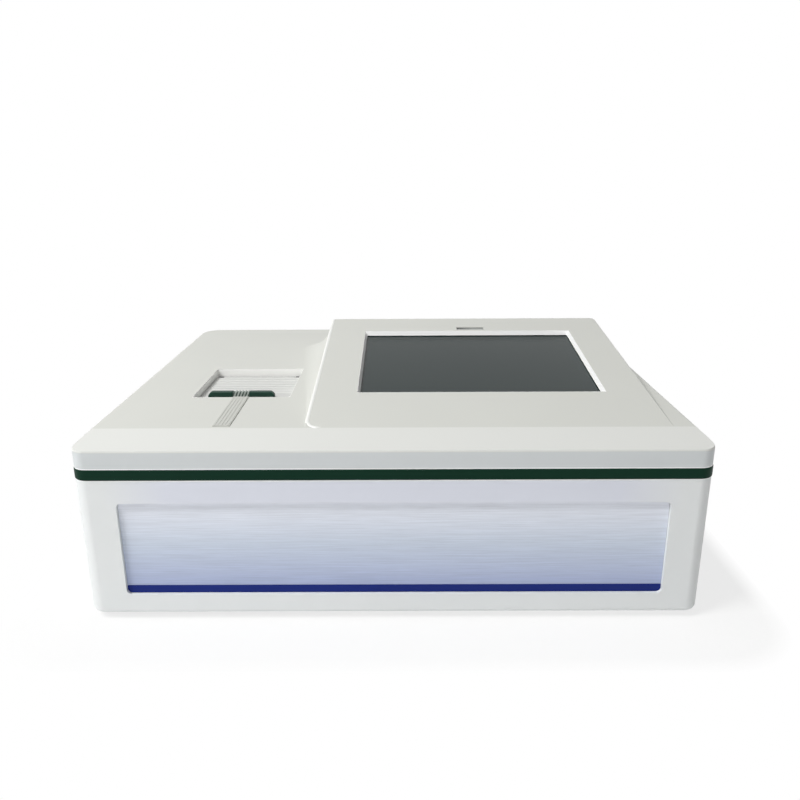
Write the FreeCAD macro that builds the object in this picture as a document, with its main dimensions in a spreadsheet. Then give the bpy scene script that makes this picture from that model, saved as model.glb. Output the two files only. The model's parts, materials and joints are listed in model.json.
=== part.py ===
import FreeCAD, Part
import math
import operator
import os

import Sketcher

# Infrared spectrophotometer for the bench: a moulded two-part case with a sloping screen console,
# a sample compartment with a hinged lid, and the optics, drives, boards and supply that it holds.
# X runs to the right, Y to the back, Z up. The origin is the middle of the footprint, on the table.

# Driving dimensions in millimetres and degrees
driving = {
    "body_width": 500.0,
    "body_depth": 425.0,
    "foot_height": 5.0,
    "foot_radius": 10.0,
    "foot_inset_x": 45.0,
    "foot_inset_y": 48.0,
    "lower_height": 118.5,
    "band_height": 9.0,
    "band_proud": 0.5,
    "side_height": 15.5,
    "strip_rise": 4.0,
    "strip_depth": 41.0,
    "wall": 3.0,
    "front_corner": 12.0,
    "back_corner": 22.0,
    "bottom_round": 4.0,
    "deck_round": 6.0,
    "console_left": 176.5,
    "console_right": 20.5,
    "console_round": 2.0,
    "console_tilt": 6.75,
    "console_reach": 285.0,
    "console_corner": 6.0,
    "console_skin": 4.5,
    "cove_angle": 84.0,
    "screen_width": 224.0,
    "screen_height": 168.0,
    "screen_middle": 0.9,
    "screen_start": 71.5,
    "screen_bevel": 2.0,
    "gasket_thickness": 0.8,
    "gasket_setback": 1.0,
    "glass_margin": 5.0,
    "glass_thickness": 2.8,
    "display_thickness": 7.5,
    "bracket_thickness": 1.5,
    "lamp_slot_width": 30.0,
    "lamp_slot_height": 8.0,
    "lamp_slot_middle": 4.1,
    "lamp_slot_start": 244.0,
    "well_width": 90.0,
    "well_length": 99.0,
    "well_middle": 108.5,
    "well_front": 126.0,
    "well_corner": 3.0,
    "well_back_corner": 1.5,
    "well_depth": 7.0,
    "lid_thickness": 4.0,
    "lid_gap": 0.5,
    "hinge_gap": 2.5,
    "pin_radius": 1.0,
    "pull_width": 63.0,
    "pull_thickness": 6.0,
    "pull_offset": -3.5,
    "pull_setback": 16.0,
    "pull_height": 7.0,
    "grip_width": 16.0,
    "relief_width": 14.5,
    "relief_depth": 0.5,
    "panel_width": 435.0,
    "panel_low": 18.0,
    "panel_height": 81.0,
    "panel_corner": 4.0,
    "recess_depth": 3.0,
    "panel_sheet": 1.2,
    "stripe_height": 6.7,
    "rear_width": 440.0,
    "rear_low": 13.0,
    "rear_height": 96.0,
    "rear_sheet": 1.5,
    "rear_ledge": 8.0,
    "bench_thickness": 6.0,
    "standoff_height": 12.0,
    "beam_height": 75.0,
    "running_gap": 0.05,
    "fit_gap": 0.2,
    "seat_gap": 0.3,
}

doc = FreeCAD.newDocument("infrared_spectrophotometer")
sheet = doc.addObject("Spreadsheet::Sheet", "Sizes")
for row, (name, value) in enumerate(driving.items(), start=1):
    sheet.set(f"A{row}", name)
    sheet.set(f"B{row}", str(value))
    sheet.setAlias(f"B{row}", name)
doc.recompute()


class Size:
    """A number together with the sheet formula that gives it."""

    def __init__(self, value, formula):
        self.value = value
        self.formula = formula

    def joined(self, sign, action, left, right):
        return Size(action(number(left), number(right)), f"({formula(left)} {sign} {formula(right)})")

    def __add__(self, other):
        return self.joined("+", operator.add, self, other)

    def __radd__(self, other):
        return self.joined("+", operator.add, other, self)

    def __sub__(self, other):
        return self.joined("-", operator.sub, self, other)

    def __rsub__(self, other):
        return self.joined("-", operator.sub, other, self)

    def __mul__(self, other):
        return self.joined("*", operator.mul, self, other)

    def __rmul__(self, other):
        return self.joined("*", operator.mul, other, self)

    def __truediv__(self, other):
        return self.joined("/", operator.truediv, self, other)

    def __rtruediv__(self, other):
        return self.joined("/", operator.truediv, other, self)

    def __neg__(self):
        return self.joined("-", operator.sub, 0.0, self)


def number(size):
    return size.value if isinstance(size, Size) else float(size)


def formula(size):
    return size.formula if isinstance(size, Size) else f"({float(size)})"


def sine(angle):
    return Size(math.sin(math.radians(number(angle))), f"sin({formula(angle)})")


def cosine(angle):
    return Size(math.cos(math.radians(number(angle))), f"cos({formula(angle)})")


def tangent(angle):
    return Size(math.tan(math.radians(number(angle))), f"tan({formula(angle)})")


class Dimensions:
    """The sheet's cells as sizes, one attribute each."""

    def __init__(self):
        for name, value in driving.items():
            setattr(self, name, Size(value, f"Sizes.{name}"))


dim = Dimensions()
nodes = []
X_AXIS = FreeCAD.Vector(1, 0, 0)
Y_AXIS = FreeCAD.Vector(0, 1, 0)
Z_AXIS = FreeCAD.Vector(0, 0, 1)


# Small helpers that make one object each and bind its sizes to the sheet

def bind(thing, path, size):
    thing.setExpression(path, formula(size))


def place(thing, x=0.0, y=0.0, z=0.0, rotation=None):
    thing.Placement = FreeCAD.Placement(FreeCAD.Vector(), rotation or FreeCAD.Rotation())
    bind(thing, "Placement.Base.x", x)
    bind(thing, "Placement.Base.y", y)
    bind(thing, "Placement.Base.z", z)
    return thing


def box(name, x, y, z):
    """A block between two values along each axis."""
    made = doc.addObject("Part::Box", name)
    bind(made, "Length", x[1] - x[0])
    bind(made, "Width", y[1] - y[0])
    bind(made, "Height", z[1] - z[0])
    return place(made, x[0], y[0], z[0])


turned = {
    "x": FreeCAD.Rotation(Y_AXIS, 90),
    "y": FreeCAD.Rotation(X_AXIS, -90),
    "z": FreeCAD.Rotation(),
}


def rod(name, radius, start, length, along="z"):
    """A round bar from its start point along one axis."""
    made = doc.addObject("Part::Cylinder", name)
    bind(made, "Radius", radius)
    bind(made, "Height", length)
    return place(made, *start, turned[along])


def taper(name, radii, start, length, along="z"):
    """A round bar that changes radius from its start to its end."""
    made = doc.addObject("Part::Cone", name)
    bind(made, "Radius1", radii[0])
    bind(made, "Radius2", radii[1])
    bind(made, "Height", length)
    return place(made, *start, turned[along])


def fuse(name, *pieces):
    made = doc.addObject("Part::MultiFuse", name)
    made.Shapes = list(pieces)
    made.Refine = True
    return made


def gather(name, pieces):
    """Separate solids that share one node."""
    made = doc.addObject("Part::Compound", name)
    made.Links = list(pieces)
    return made


def cut(name, base, *tools):
    made = doc.addObject("Part::Cut", name)
    made.Base = base
    made.Tool = tools[0] if len(tools) == 1 else fuse(name + "_tools", *tools)
    made.Refine = True
    return made


def keep(node, thing):
    """Marks an object as a finished sub-part under its node's name."""
    thing.Label = node
    nodes.append(thing)
    return thing


# Sketches and features for the pieces that are drawn and padded

def new_body(name):
    return doc.addObject("PartDesign::Body", name)


def sketch_on(body, name, role, offset=0.0):
    """A sketch on one of the body's origin planes, moved along that plane's normal."""
    sketch = body.newObject("Sketcher::SketchObject", name)
    plane = [feature for feature in body.Origin.OriginFeatures if feature.Role == role][0]
    sketch.AttachmentSupport = [(plane, "")]
    sketch.MapMode = "FlatFace"
    bind(sketch, "AttachmentOffset.Base.z", offset)
    return sketch


def pin_point(sketch, curve, end, x, y):
    """Holds a curve's end at a place measured from the sketch's origin."""
    for kind, size in (("DistanceX", x), ("DistanceY", y)):
        index = sketch.addConstraint(Sketcher.Constraint(kind, -1, 1, curve, end, number(size)))
        bind(sketch, f"Constraints[{index}]", size)


def draw_polygon(sketch, points):
    count = len(points)
    first = sketch.GeometryCount
    corners = [FreeCAD.Vector(number(x), number(y), 0) for x, y in points]
    for index in range(count):
        sketch.addGeometry(Part.LineSegment(corners[index], corners[(index + 1) % count]))
    for index, (x, y) in enumerate(points):
        before = first + (index - 1) % count
        sketch.addConstraint(Sketcher.Constraint("Coincident", before, 2, first + index, 1))
        pin_point(sketch, first + index, 1, x, y)
    return sketch


def draw_rectangle(sketch, x, y):
    return draw_polygon(sketch, [(x[0], y[0]), (x[1], y[0]), (x[1], y[1]), (x[0], y[1])])


def draw_rounded(sketch, x, y, radii):
    """A rectangle with rounded corners, starting at the low x, low y corner and going round."""
    corners = [(x[0], y[0], 1, 1), (x[1], y[0], -1, 1), (x[1], y[1], -1, -1), (x[0], y[1], 1, -1)]
    centres = []
    for (corner_x, corner_y, side_x, side_y), radius in zip(corners, radii):
        centres.append((corner_x + side_x * radius, corner_y + side_y * radius))
    first = sketch.GeometryCount
    for index in range(4):
        after = (index + 1) % 4
        angle = math.radians(-90 + 90 * index)
        out = FreeCAD.Vector(math.cos(angle), math.sin(angle), 0)
        here = FreeCAD.Vector(number(centres[index][0]), number(centres[index][1]), 0)
        there = FreeCAD.Vector(number(centres[after][0]), number(centres[after][1]), 0)
        start = here + out * number(radii[index])
        end = there + out * number(radii[after])
        sketch.addGeometry(Part.LineSegment(start, end))
        round_end = Part.Circle(there, Z_AXIS, number(radii[after]))
        sketch.addGeometry(Part.ArcOfCircle(round_end, angle, angle + math.pi / 2))
    for index in range(4):
        line = first + 2 * index
        arc = line + 1
        after = first + (2 * index + 2) % 8
        sketch.addConstraint(Sketcher.Constraint("Tangent", line, 2, arc, 1))
        sketch.addConstraint(Sketcher.Constraint("Tangent", arc, 2, after, 1))
        pin_point(sketch, arc, 3, *centres[(index + 1) % 4])
        radius = sketch.addConstraint(Sketcher.Constraint("Radius", arc, number(radii[(index + 1) % 4])))
        bind(sketch, f"Constraints[{radius}]", radii[(index + 1) % 4])
    return sketch


def draw_circle(sketch, x, y, radius):
    centre = FreeCAD.Vector(number(x), number(y), 0)
    index = sketch.addGeometry(Part.Circle(centre, Z_AXIS, number(radius)))
    pin_point(sketch, index, 3, x, y)
    constraint = sketch.addConstraint(Sketcher.Constraint("Radius", index, number(radius)))
    bind(sketch, f"Constraints[{constraint}]", radius)
    return sketch


def pad(body, sketch, length):
    """Adds material along the sketch's normal."""
    made = body.newObject("PartDesign::Pad", sketch.Name + "_pad")
    made.Profile = sketch
    bind(made, "Length", length)
    sketch.Visibility = False
    return made


def rounded_plate(name, x, y, z, corners):
    """A flat plate between two levels, with its four corners rounded as listed."""
    plate = new_body(name)
    outline = sketch_on(plate, name + "_outline", "XY_Plane", z[0])
    draw_rounded(outline, x, y, corners)
    pad(plate, outline, z[1] - z[0])
    return plate


def pocket(body, sketch, length, refine=True):
    """Takes material away against the sketch's normal, and checks that some went."""
    doc.recompute()
    before = body.Shape.Volume
    made = body.newObject("PartDesign::Pocket", sketch.Name + "_pocket")
    made.Profile = sketch
    made.Refine = refine
    bind(made, "Length", length)
    doc.recompute()
    if before - made.Shape.Volume < 0.001:
        raise RuntimeError(sketch.Name + " cuts nothing")
    return made


def round_edges(body, name, radius, wanted):
    """Rounds the edges of the body's tip for which the test holds."""
    doc.recompute()
    base = body.Tip
    names = [f"Edge{i}" for i, edge in enumerate(base.Shape.Edges, start=1) if wanted(edge)]
    if not names:
        raise RuntimeError(name + " finds no edge")
    made = body.newObject("PartDesign::Fillet", name)
    made.Base = (base, names)
    bind(made, "Radius", radius)
    return made


def lies_at(edge, axis, level):
    """True where the whole edge lies at one level along an axis."""
    low = getattr(edge.BoundBox, axis + "Min")
    high = getattr(edge.BoundBox, axis + "Max")
    return abs(low - number(level)) < 0.01 and abs(high - number(level)) < 0.01


# Places that many pieces share, worked out from the driving dimensions
half_width = dim.body_width / 2
front = -dim.body_depth / 2
back = dim.body_depth / 2
shell_bottom = dim.foot_height
floor_top = shell_bottom + dim.wall
lower_top = shell_bottom + dim.lower_height
band_top = lower_top + dim.band_height
side_top = band_top + dim.side_height
deck = side_top + dim.strip_rise
crease = front + dim.strip_depth
console_back = crease + dim.console_reach * cosine(dim.console_tilt)
console_top = deck + dim.console_reach * sine(dim.console_tilt)
console_x = (-half_width + dim.console_left, half_width - dim.console_right)
screen_middle = (console_x[0] + console_x[1]) / 2 + dim.screen_middle
well_middle = -half_width + dim.well_middle
well_x = (well_middle - dim.well_width / 2, well_middle + dim.well_width / 2)
well_y = (front + dim.well_front, front + dim.well_front + dim.well_length)
lid_top = deck - dim.well_depth
lid_bottom = lid_top - dim.lid_thickness
rim_top = lid_bottom - dim.seat_gap
hinge_y = well_y[1] - dim.hinge_gap - dim.lid_thickness / 2
hinge_z = lid_top - dim.lid_thickness / 2
bench_low = floor_top + dim.standoff_height
bench_top = bench_low + dim.bench_thickness
case_corners = [dim.front_corner, dim.front_corner, dim.back_corner, dim.back_corner]
panel_x = (-dim.panel_width / 2, dim.panel_width / 2)
panel_z = (shell_bottom + dim.panel_low, shell_bottom + dim.panel_low + dim.panel_height)
panel_seat = front + dim.recess_depth + dim.panel_sheet
rear_x = (-dim.rear_width / 2, dim.rear_width / 2)
rear_z = (shell_bottom + dim.rear_low, shell_bottom + dim.rear_low + dim.rear_height)
rear_seat = back - dim.recess_depth - dim.rear_sheet
rear_face = back - dim.recess_depth
foot_places = [
    (side * (half_width - dim.foot_inset_x), end * (back - dim.foot_inset_y))
    for side in (-1, 1) for end in (-1, 1)
]
boss_radius = 6.0
boss_inset = 26.0
case_screw_places = [
    (-half_width + boss_inset, front + boss_inset),
    (half_width - boss_inset, front + boss_inset),
    (-half_width + boss_inset, back - boss_inset),
    (half_width - boss_inset, back - boss_inset),
    (0.0, front + boss_inset),
    (0.0, back - boss_inset),
]


def widened(span, margin):
    """A pair of values moved outwards by a margin, or inwards where it is negative."""
    return (span[0] - margin, span[1] + margin)


def around(centre, half):
    """The pair of values that lie the same distance on both sides of a centre."""
    return (centre - half, centre + half)


body_x = (-half_width, half_width)
body_y = (front, back)


def make_lower_shell():
    """The tub: rounded outline, front and rear recesses, screw columns, foot bosses and air slots."""
    shell = new_body("lower_shell")
    outline = sketch_on(shell, "lower_outline", "XY_Plane", shell_bottom)
    pad(shell, draw_rounded(outline, body_x, body_y, case_corners), dim.lower_height)
    round_edges(shell, "lower_bottom_round", dim.bottom_round,
                lambda edge: lies_at(edge, "Z", shell_bottom))
    hollow = sketch_on(shell, "lower_hollow", "XY_Plane", lower_top)
    inner_corners = [radius - dim.wall for radius in case_corners]
    draw_rounded(hollow, widened(body_x, -dim.wall), widened(body_y, -dim.wall), inner_corners)
    pocket(shell, hollow, dim.lower_height - dim.wall)

    step = dim.recess_depth + dim.panel_sheet
    front_step = sketch_on(shell, "front_step", "XZ_Plane", -(front + dim.wall + step))
    draw_rectangle(front_step, widened(panel_x, dim.wall), widened(panel_z, dim.wall))
    pad(shell, front_step, step)
    front_recess = sketch_on(shell, "front_recess", "XZ_Plane", -front)
    draw_rounded(front_recess, panel_x, panel_z, [dim.panel_corner] * 4)
    pocket(shell, front_recess, step)

    rear_step = sketch_on(shell, "rear_step", "XZ_Plane", -(back - dim.wall))
    draw_rectangle(rear_step, widened(rear_x, dim.wall), widened(rear_z, dim.wall))
    pad(shell, rear_step, dim.recess_depth + dim.rear_sheet)
    rear_recess = sketch_on(shell, "rear_recess", "XZ_Plane", -rear_seat)
    draw_rounded(rear_recess, rear_x, rear_z, [dim.panel_corner] * 4)
    pocket(shell, rear_recess, dim.recess_depth + dim.rear_sheet)
    rear_window = sketch_on(shell, "rear_window", "XZ_Plane", -(rear_seat - 2 * dim.wall))
    draw_rounded(rear_window, widened(rear_x, -dim.rear_ledge), widened(rear_z, -dim.rear_ledge),
                 [dim.panel_corner] * 4)
    pocket(shell, rear_window, 3 * dim.wall)

    ledge_holes = sketch_on(shell, "ledge_holes", "XZ_Plane", -(rear_seat - dim.wall))
    for x, z in rear_screw_places:
        draw_circle(ledge_holes, x, z, small_screw_radius + dim.running_gap)
    pocket(shell, ledge_holes, dim.wall)

    columns = sketch_on(shell, "case_columns", "XY_Plane", floor_top)
    for x, y in case_screw_places:
        draw_circle(columns, x, y, boss_radius)
    pad(shell, columns, lower_top - floor_top)
    access = sketch_on(shell, "screw_access", "XY_Plane", lower_top - screw_seat_depth)
    for x, y in case_screw_places:
        draw_circle(access, x, y, screw_head_radius + dim.seat_gap)
    pocket(shell, access, dim.lower_height)
    passage = sketch_on(shell, "screw_passage", "XY_Plane", lower_top)
    for x, y in case_screw_places:
        draw_circle(passage, x, y, screw_radius + dim.running_gap)
    pocket(shell, passage, dim.lower_height)

    foot_bosses = sketch_on(shell, "foot_bosses", "XY_Plane", floor_top)
    for x, y in foot_places:
        draw_circle(foot_bosses, x, y, boss_radius)
    pad(shell, foot_bosses, foot_boss_height)
    foot_holes = sketch_on(shell, "foot_holes", "XY_Plane", floor_top + foot_boss_height)
    for x, y in foot_places:
        draw_circle(foot_holes, x, y, foot_screw_radius + dim.running_gap)
    pocket(shell, foot_holes, dim.lower_height)

    slot = sketch_on(shell, "air_slot", "XY_Plane", floor_top)
    draw_rounded(slot, (air_slots_x, air_slots_x + air_slot_width), air_slots_y, [air_slot_width / 2.01] * 4)
    slots = pocket(shell, slot, dim.lower_height)
    row = shell.newObject("PartDesign::LinearPattern", "air_slots")
    row.Originals = [slots]
    row.Direction = (slot, ["H_Axis"])
    bind(row, "Length", air_slot_pitch * (air_slot_count - 1))
    row.Occurrences = air_slot_count
    shell.Tip = row
    keep("lower_shell", shell)


screw_radius = 1.95
screw_head_radius = 3.5
screw_seat_depth = 15.0
foot_screw_radius = 1.75
foot_boss_height = 7.0
air_slot_width = 3.5
air_slot_count = 9
air_slot_pitch = 9.0
air_slots_x = half_width - 105.0
air_slots_y = (front + 62.5, front + 122.5)


def make_front_panel():
    """The satin sheet set into the front, and the dark strip along its foot."""
    sheet_body = new_body("front_panel")
    outline = sketch_on(sheet_body, "panel_outline", "XZ_Plane", -panel_seat)
    draw_rounded(outline, widened(panel_x, -dim.fit_gap), widened(panel_z, -dim.fit_gap),
                 [dim.panel_corner - dim.fit_gap] * 4)
    pad(sheet_body, outline, dim.panel_sheet)
    keep("front_panel", sheet_body)
    stripe = new_body("front_stripe")
    foot = sketch_on(stripe, "stripe_outline", "XZ_Plane", -(front + dim.recess_depth))
    left = panel_x[0] + dim.fit_gap
    right = panel_x[1] - dim.fit_gap
    low = panel_z[0] + dim.fit_gap
    draw_rounded(foot, (left, right), (low, low + dim.stripe_height),
                 [dim.panel_corner - dim.fit_gap, dim.panel_corner - dim.fit_gap, 0.5, 0.5])
    pad(stripe, foot, stripe_thickness)
    keep("front_stripe", stripe)


stripe_thickness = 0.4


def make_trim_band():
    """The dark green ring that closes the joint between the two halves of the case."""
    band = new_body("trim_band")
    outline = sketch_on(band, "band_outline", "XY_Plane", lower_top)
    outer_corners = [radius + dim.band_proud for radius in case_corners]
    draw_rounded(outline, widened(body_x, dim.band_proud), widened(body_y, dim.band_proud), outer_corners)
    pad(band, outline, dim.band_height)
    round_edges(band, "band_round", dim.band_proud * 2, lambda edge: lies_at(edge, "Z", lower_top)
                or lies_at(edge, "Z", band_top))
    inside = sketch_on(band, "band_inside", "XY_Plane", band_top)
    inner_corners = [radius - dim.wall for radius in case_corners]
    draw_rounded(inside, widened(body_x, -dim.wall), widened(body_y, -dim.wall), inner_corners)
    pocket(band, inside, dim.band_height)
    keep("trim_band", band)


def cove_section(name, spread, reach, x, y, turn):
    """A concave wedge section: flat on the deck, tangent to it at its toe, steep at the wall."""
    sketch = doc.addObject("Sketcher::SketchObject", name)
    height = spread * tangent(dim.cove_angle / 2)
    radius = spread / sine(dim.cove_angle)
    toe = reach + spread
    wall_foot = FreeCAD.Vector(number(reach), 0, 0)
    toe_point = FreeCAD.Vector(number(toe), 0, 0)
    top_point = FreeCAD.Vector(number(reach), number(height), 0)
    sketch.addGeometry(Part.LineSegment(wall_foot, toe_point))
    centre = FreeCAD.Vector(number(toe), number(radius), 0)
    circle = Part.Circle(centre, Z_AXIS, number(radius))
    start = math.radians(270 - number(dim.cove_angle))
    sketch.addGeometry(Part.ArcOfCircle(circle, start, math.radians(270)))
    sketch.addGeometry(Part.LineSegment(top_point, wall_foot))
    sketch.addConstraint(Sketcher.Constraint("Tangent", 0, 2, 1, 2))
    sketch.addConstraint(Sketcher.Constraint("Coincident", 1, 1, 2, 1))
    sketch.addConstraint(Sketcher.Constraint("Coincident", 2, 2, 0, 1))
    pin_point(sketch, 0, 1, reach, 0.0)
    pin_point(sketch, 0, 2, toe, 0.0)
    pin_point(sketch, 2, 1, reach, height)
    upright = FreeCAD.Rotation(Z_AXIS, turn).multiply(FreeCAD.Rotation(X_AXIS, 90))
    place(sketch, x, y, deck, upright)
    return sketch


cove_toe = 1.0


def loft(name, sections, ruled=True):
    made = doc.addObject("Part::Loft", name)
    made.Sections = sections
    made.Solid = True
    made.Ruled = ruled
    return made


def make_coves():
    """The concave slopes that run from below the console's rounded edge down to the deck."""
    edge_drop = dim.console_round / tangent((90.0 - dim.console_tilt) / 2)
    outset = crease + edge_drop / tangent(dim.console_tilt)
    start = outset + cove_toe
    end = console_back - dim.console_corner
    slope = tangent(dim.console_tilt) / tangent(dim.cove_angle / 2)
    left_start = cove_toe * slope
    left_end = (end - outset) * slope
    right_end = half_width - dim.deck_round - console_x[1]
    right_start = right_end * (cove_toe / (end - outset))
    left_turn_x = console_x[0] + dim.console_corner
    right_turn_x = console_x[1] - dim.console_corner
    left = loft("left_cove", [
        cove_section("left_cove_start", left_start, 0.0, console_x[0], start, 180),
        cove_section("left_cove_end", left_end, 0.0, console_x[0], end, 180)])
    right = loft("right_cove", [
        cove_section("right_cove_start", right_start, 0.0, console_x[1], start, 0),
        cove_section("right_cove_end", right_end, 0.0, console_x[1], end, 0)])
    behind = loft("back_cove", [
        cove_section("back_cove_left", left_end, dim.console_corner, left_turn_x, end, 90),
        cove_section("back_cove_right", left_end, dim.console_corner, right_turn_x, end, 90)])
    left_corner = doc.addObject("Part::Revolution", "left_corner_cove")
    left_corner.Source = cove_section("left_corner_section", left_end, dim.console_corner,
                                      left_turn_x, end, 90)
    left_corner.Axis = Z_AXIS
    left_corner.Angle = 90
    left_corner.Solid = True
    bind(left_corner, "Base.x", left_turn_x)
    bind(left_corner, "Base.y", end)
    turns = 3
    shares = [cosine(90.0 * step / turns) for step in range(turns + 1)]
    corner_sections = []
    for step, share in enumerate(shares):
        spread = left_end + (right_end - left_end) * share
        corner_sections.append(cove_section(f"right_corner_{step}", spread, dim.console_corner,
                                            right_turn_x, end, 90.0 * step / turns))
    right_corner = loft("right_corner_cove", corner_sections, ruled=False)
    return [left, right, behind, left_corner, right_corner]


def sloped_wedge(name, x, y, z_low, drop, corner):
    """A block with rounded plan corners, cut along the console's slope, lowered by a drop."""
    body = new_body(name)
    plan = sketch_on(body, name + "_plan", "XY_Plane", z_low)
    draw_rounded(plan, x, y, [corner] * 4)
    pad(body, plan, console_top + 2.0 - z_low)
    above = sketch_on(body, name + "_above", "YZ_Plane", x[1] + 1.0)
    rise = tangent(dim.console_tilt)
    start = y[0] - 1.0
    end = y[1] + 1.0
    lowered = drop / cosine(dim.console_tilt)
    draw_polygon(above, [
        (start, deck + (start - crease) * rise - lowered),
        (end, deck + (end - crease) * rise - lowered),
        (end, console_top + 4.0),
        (start, console_top + 4.0)])
    pocket(body, above, x[1] - x[0] + 2.0)
    return body


def lies_on_slope(edge):
    """True where both ends of an edge lie on the console's top face."""
    rise = math.tan(math.radians(number(dim.console_tilt)))
    levels = [number(deck) + (vertex.Y - number(crease)) * rise for vertex in edge.Vertexes]
    return all(abs(vertex.Z - level) < 0.01 for vertex, level in zip(edge.Vertexes, levels))


def on_slope(along, out):
    """The Y and Z of a point on the console: a distance along its slope and one out of it."""
    y = crease + along * cosine(dim.console_tilt) - out * sine(dim.console_tilt)
    z = deck + along * sine(dim.console_tilt) + out * cosine(dim.console_tilt)
    return y, z


def slope_box(name, x, along, out):
    """A block that lies in the console's own frame."""
    made = doc.addObject("Part::Box", name)
    bind(made, "Length", x[1] - x[0])
    bind(made, "Width", along[1] - along[0])
    bind(made, "Height", out[1] - out[0])
    y, z = on_slope(along[0], out[0])
    place(made, x[0], y, z, FreeCAD.Rotation(X_AXIS, number(dim.console_tilt)))
    bind(made, "Placement.Rotation.Angle", dim.console_tilt)
    return made


def slope_rod(name, radius, x, along, out, length):
    """A round bar that stands square on the console's slope."""
    made = doc.addObject("Part::Cylinder", name)
    bind(made, "Radius", radius)
    bind(made, "Height", length)
    y, z = on_slope(along, out)
    place(made, x, y, z, FreeCAD.Rotation(X_AXIS, number(dim.console_tilt)))
    bind(made, "Placement.Rotation.Angle", dim.console_tilt)
    return made


screen_x = (screen_middle - dim.screen_width / 2, screen_middle + dim.screen_width / 2)
screen_along = (dim.screen_start, dim.screen_start + dim.screen_height)
glass_x = widened(screen_x, dim.glass_margin)
glass_along = widened(screen_along, dim.glass_margin)
glass_out = (-dim.console_skin - dim.gasket_thickness - dim.glass_thickness,
             -dim.console_skin - dim.gasket_thickness)
display_out = (glass_out[0] - dim.display_thickness, glass_out[0])
display_boss_radius = 4.0
display_boss_gap = 1.0
display_boss_inset = 14.0
display_boss_x = widened(glass_x, -display_boss_inset)
display_boss_along = widened(glass_along, display_boss_radius + display_boss_gap)
display_boss_places = [(x, along) for x in display_boss_x for along in display_boss_along]
status_middle = screen_middle + dim.lamp_slot_middle
status_x = (status_middle - dim.lamp_slot_width / 2, status_middle + dim.lamp_slot_width / 2)
status_along = (dim.lamp_slot_start, dim.lamp_slot_start + dim.lamp_slot_height)
skirt_wall = 2.5
skirt_bottom = rim_top - 4.0


def screen_funnel():
    """The bevelled mouth in front of the screen: wide at the surface, narrow at the glass."""
    made = doc.addObject("Part::Wedge", "screen_funnel")
    over = 1.0
    depth = dim.console_skin + over
    bevel = dim.screen_bevel * (depth + over) / dim.console_skin
    flare = dim.screen_bevel * over / dim.console_skin
    bind(made, "Ymin", 0.0)
    bind(made, "Ymax", depth + over)
    bind(made, "Xmin", 0.0)
    bind(made, "Xmax", dim.screen_width + 2 * flare)
    bind(made, "Zmin", 0.0)
    bind(made, "Zmax", dim.screen_height + 2 * flare)
    bind(made, "X2min", bevel)
    bind(made, "X2max", dim.screen_width + 2 * flare - bevel)
    bind(made, "Z2min", bevel)
    bind(made, "Z2max", dim.screen_height + 2 * flare - bevel)
    y, z = on_slope(dim.screen_start - flare, over)
    place(made, screen_x[0] - flare, y, z, FreeCAD.Rotation(X_AXIS, number(dim.console_tilt) - 90))
    bind(made, "Placement.Rotation.Angle", dim.console_tilt - 90)
    return made


def make_cover_blank():
    """The flat part of the upper cover: rim, deck, rounded edges and the strip along the front."""
    blank = new_body("cover_blank")
    outline = sketch_on(blank, "cover_outline", "XY_Plane", band_top)
    pad(blank, draw_rounded(outline, body_x, body_y, case_corners), deck - band_top)
    round_edges(blank, "cover_round", dim.deck_round, lambda edge: lies_at(edge, "Z", deck))
    strip = sketch_on(blank, "front_strip", "YZ_Plane", half_width + 1.0)
    fall = dim.strip_rise / dim.strip_depth
    draw_polygon(strip, [
        (front - 1.0, side_top - fall),
        (crease, deck),
        (crease, deck + 2.0),
        (front - 1.0, deck + 2.0)])
    pocket(blank, strip, dim.body_width + 2.0, refine=False)
    inside = sketch_on(blank, "cover_inside", "XY_Plane", side_top - dim.wall)
    inner_corners = [radius - dim.wall for radius in case_corners]
    draw_rounded(inside, widened(body_x, -dim.wall), widened(body_y, -dim.wall), inner_corners)
    pocket(blank, inside, dim.body_depth)
    upper = sketch_on(blank, "deck_inside", "XY_Plane", deck - dim.wall)
    draw_rounded(upper, widened(body_x, -dim.wall - dim.deck_round),
                 (crease + dim.wall, back - dim.wall - dim.deck_round), [dim.back_corner - dim.wall] * 4)
    pocket(blank, upper, dim.body_depth)
    return blank


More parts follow.
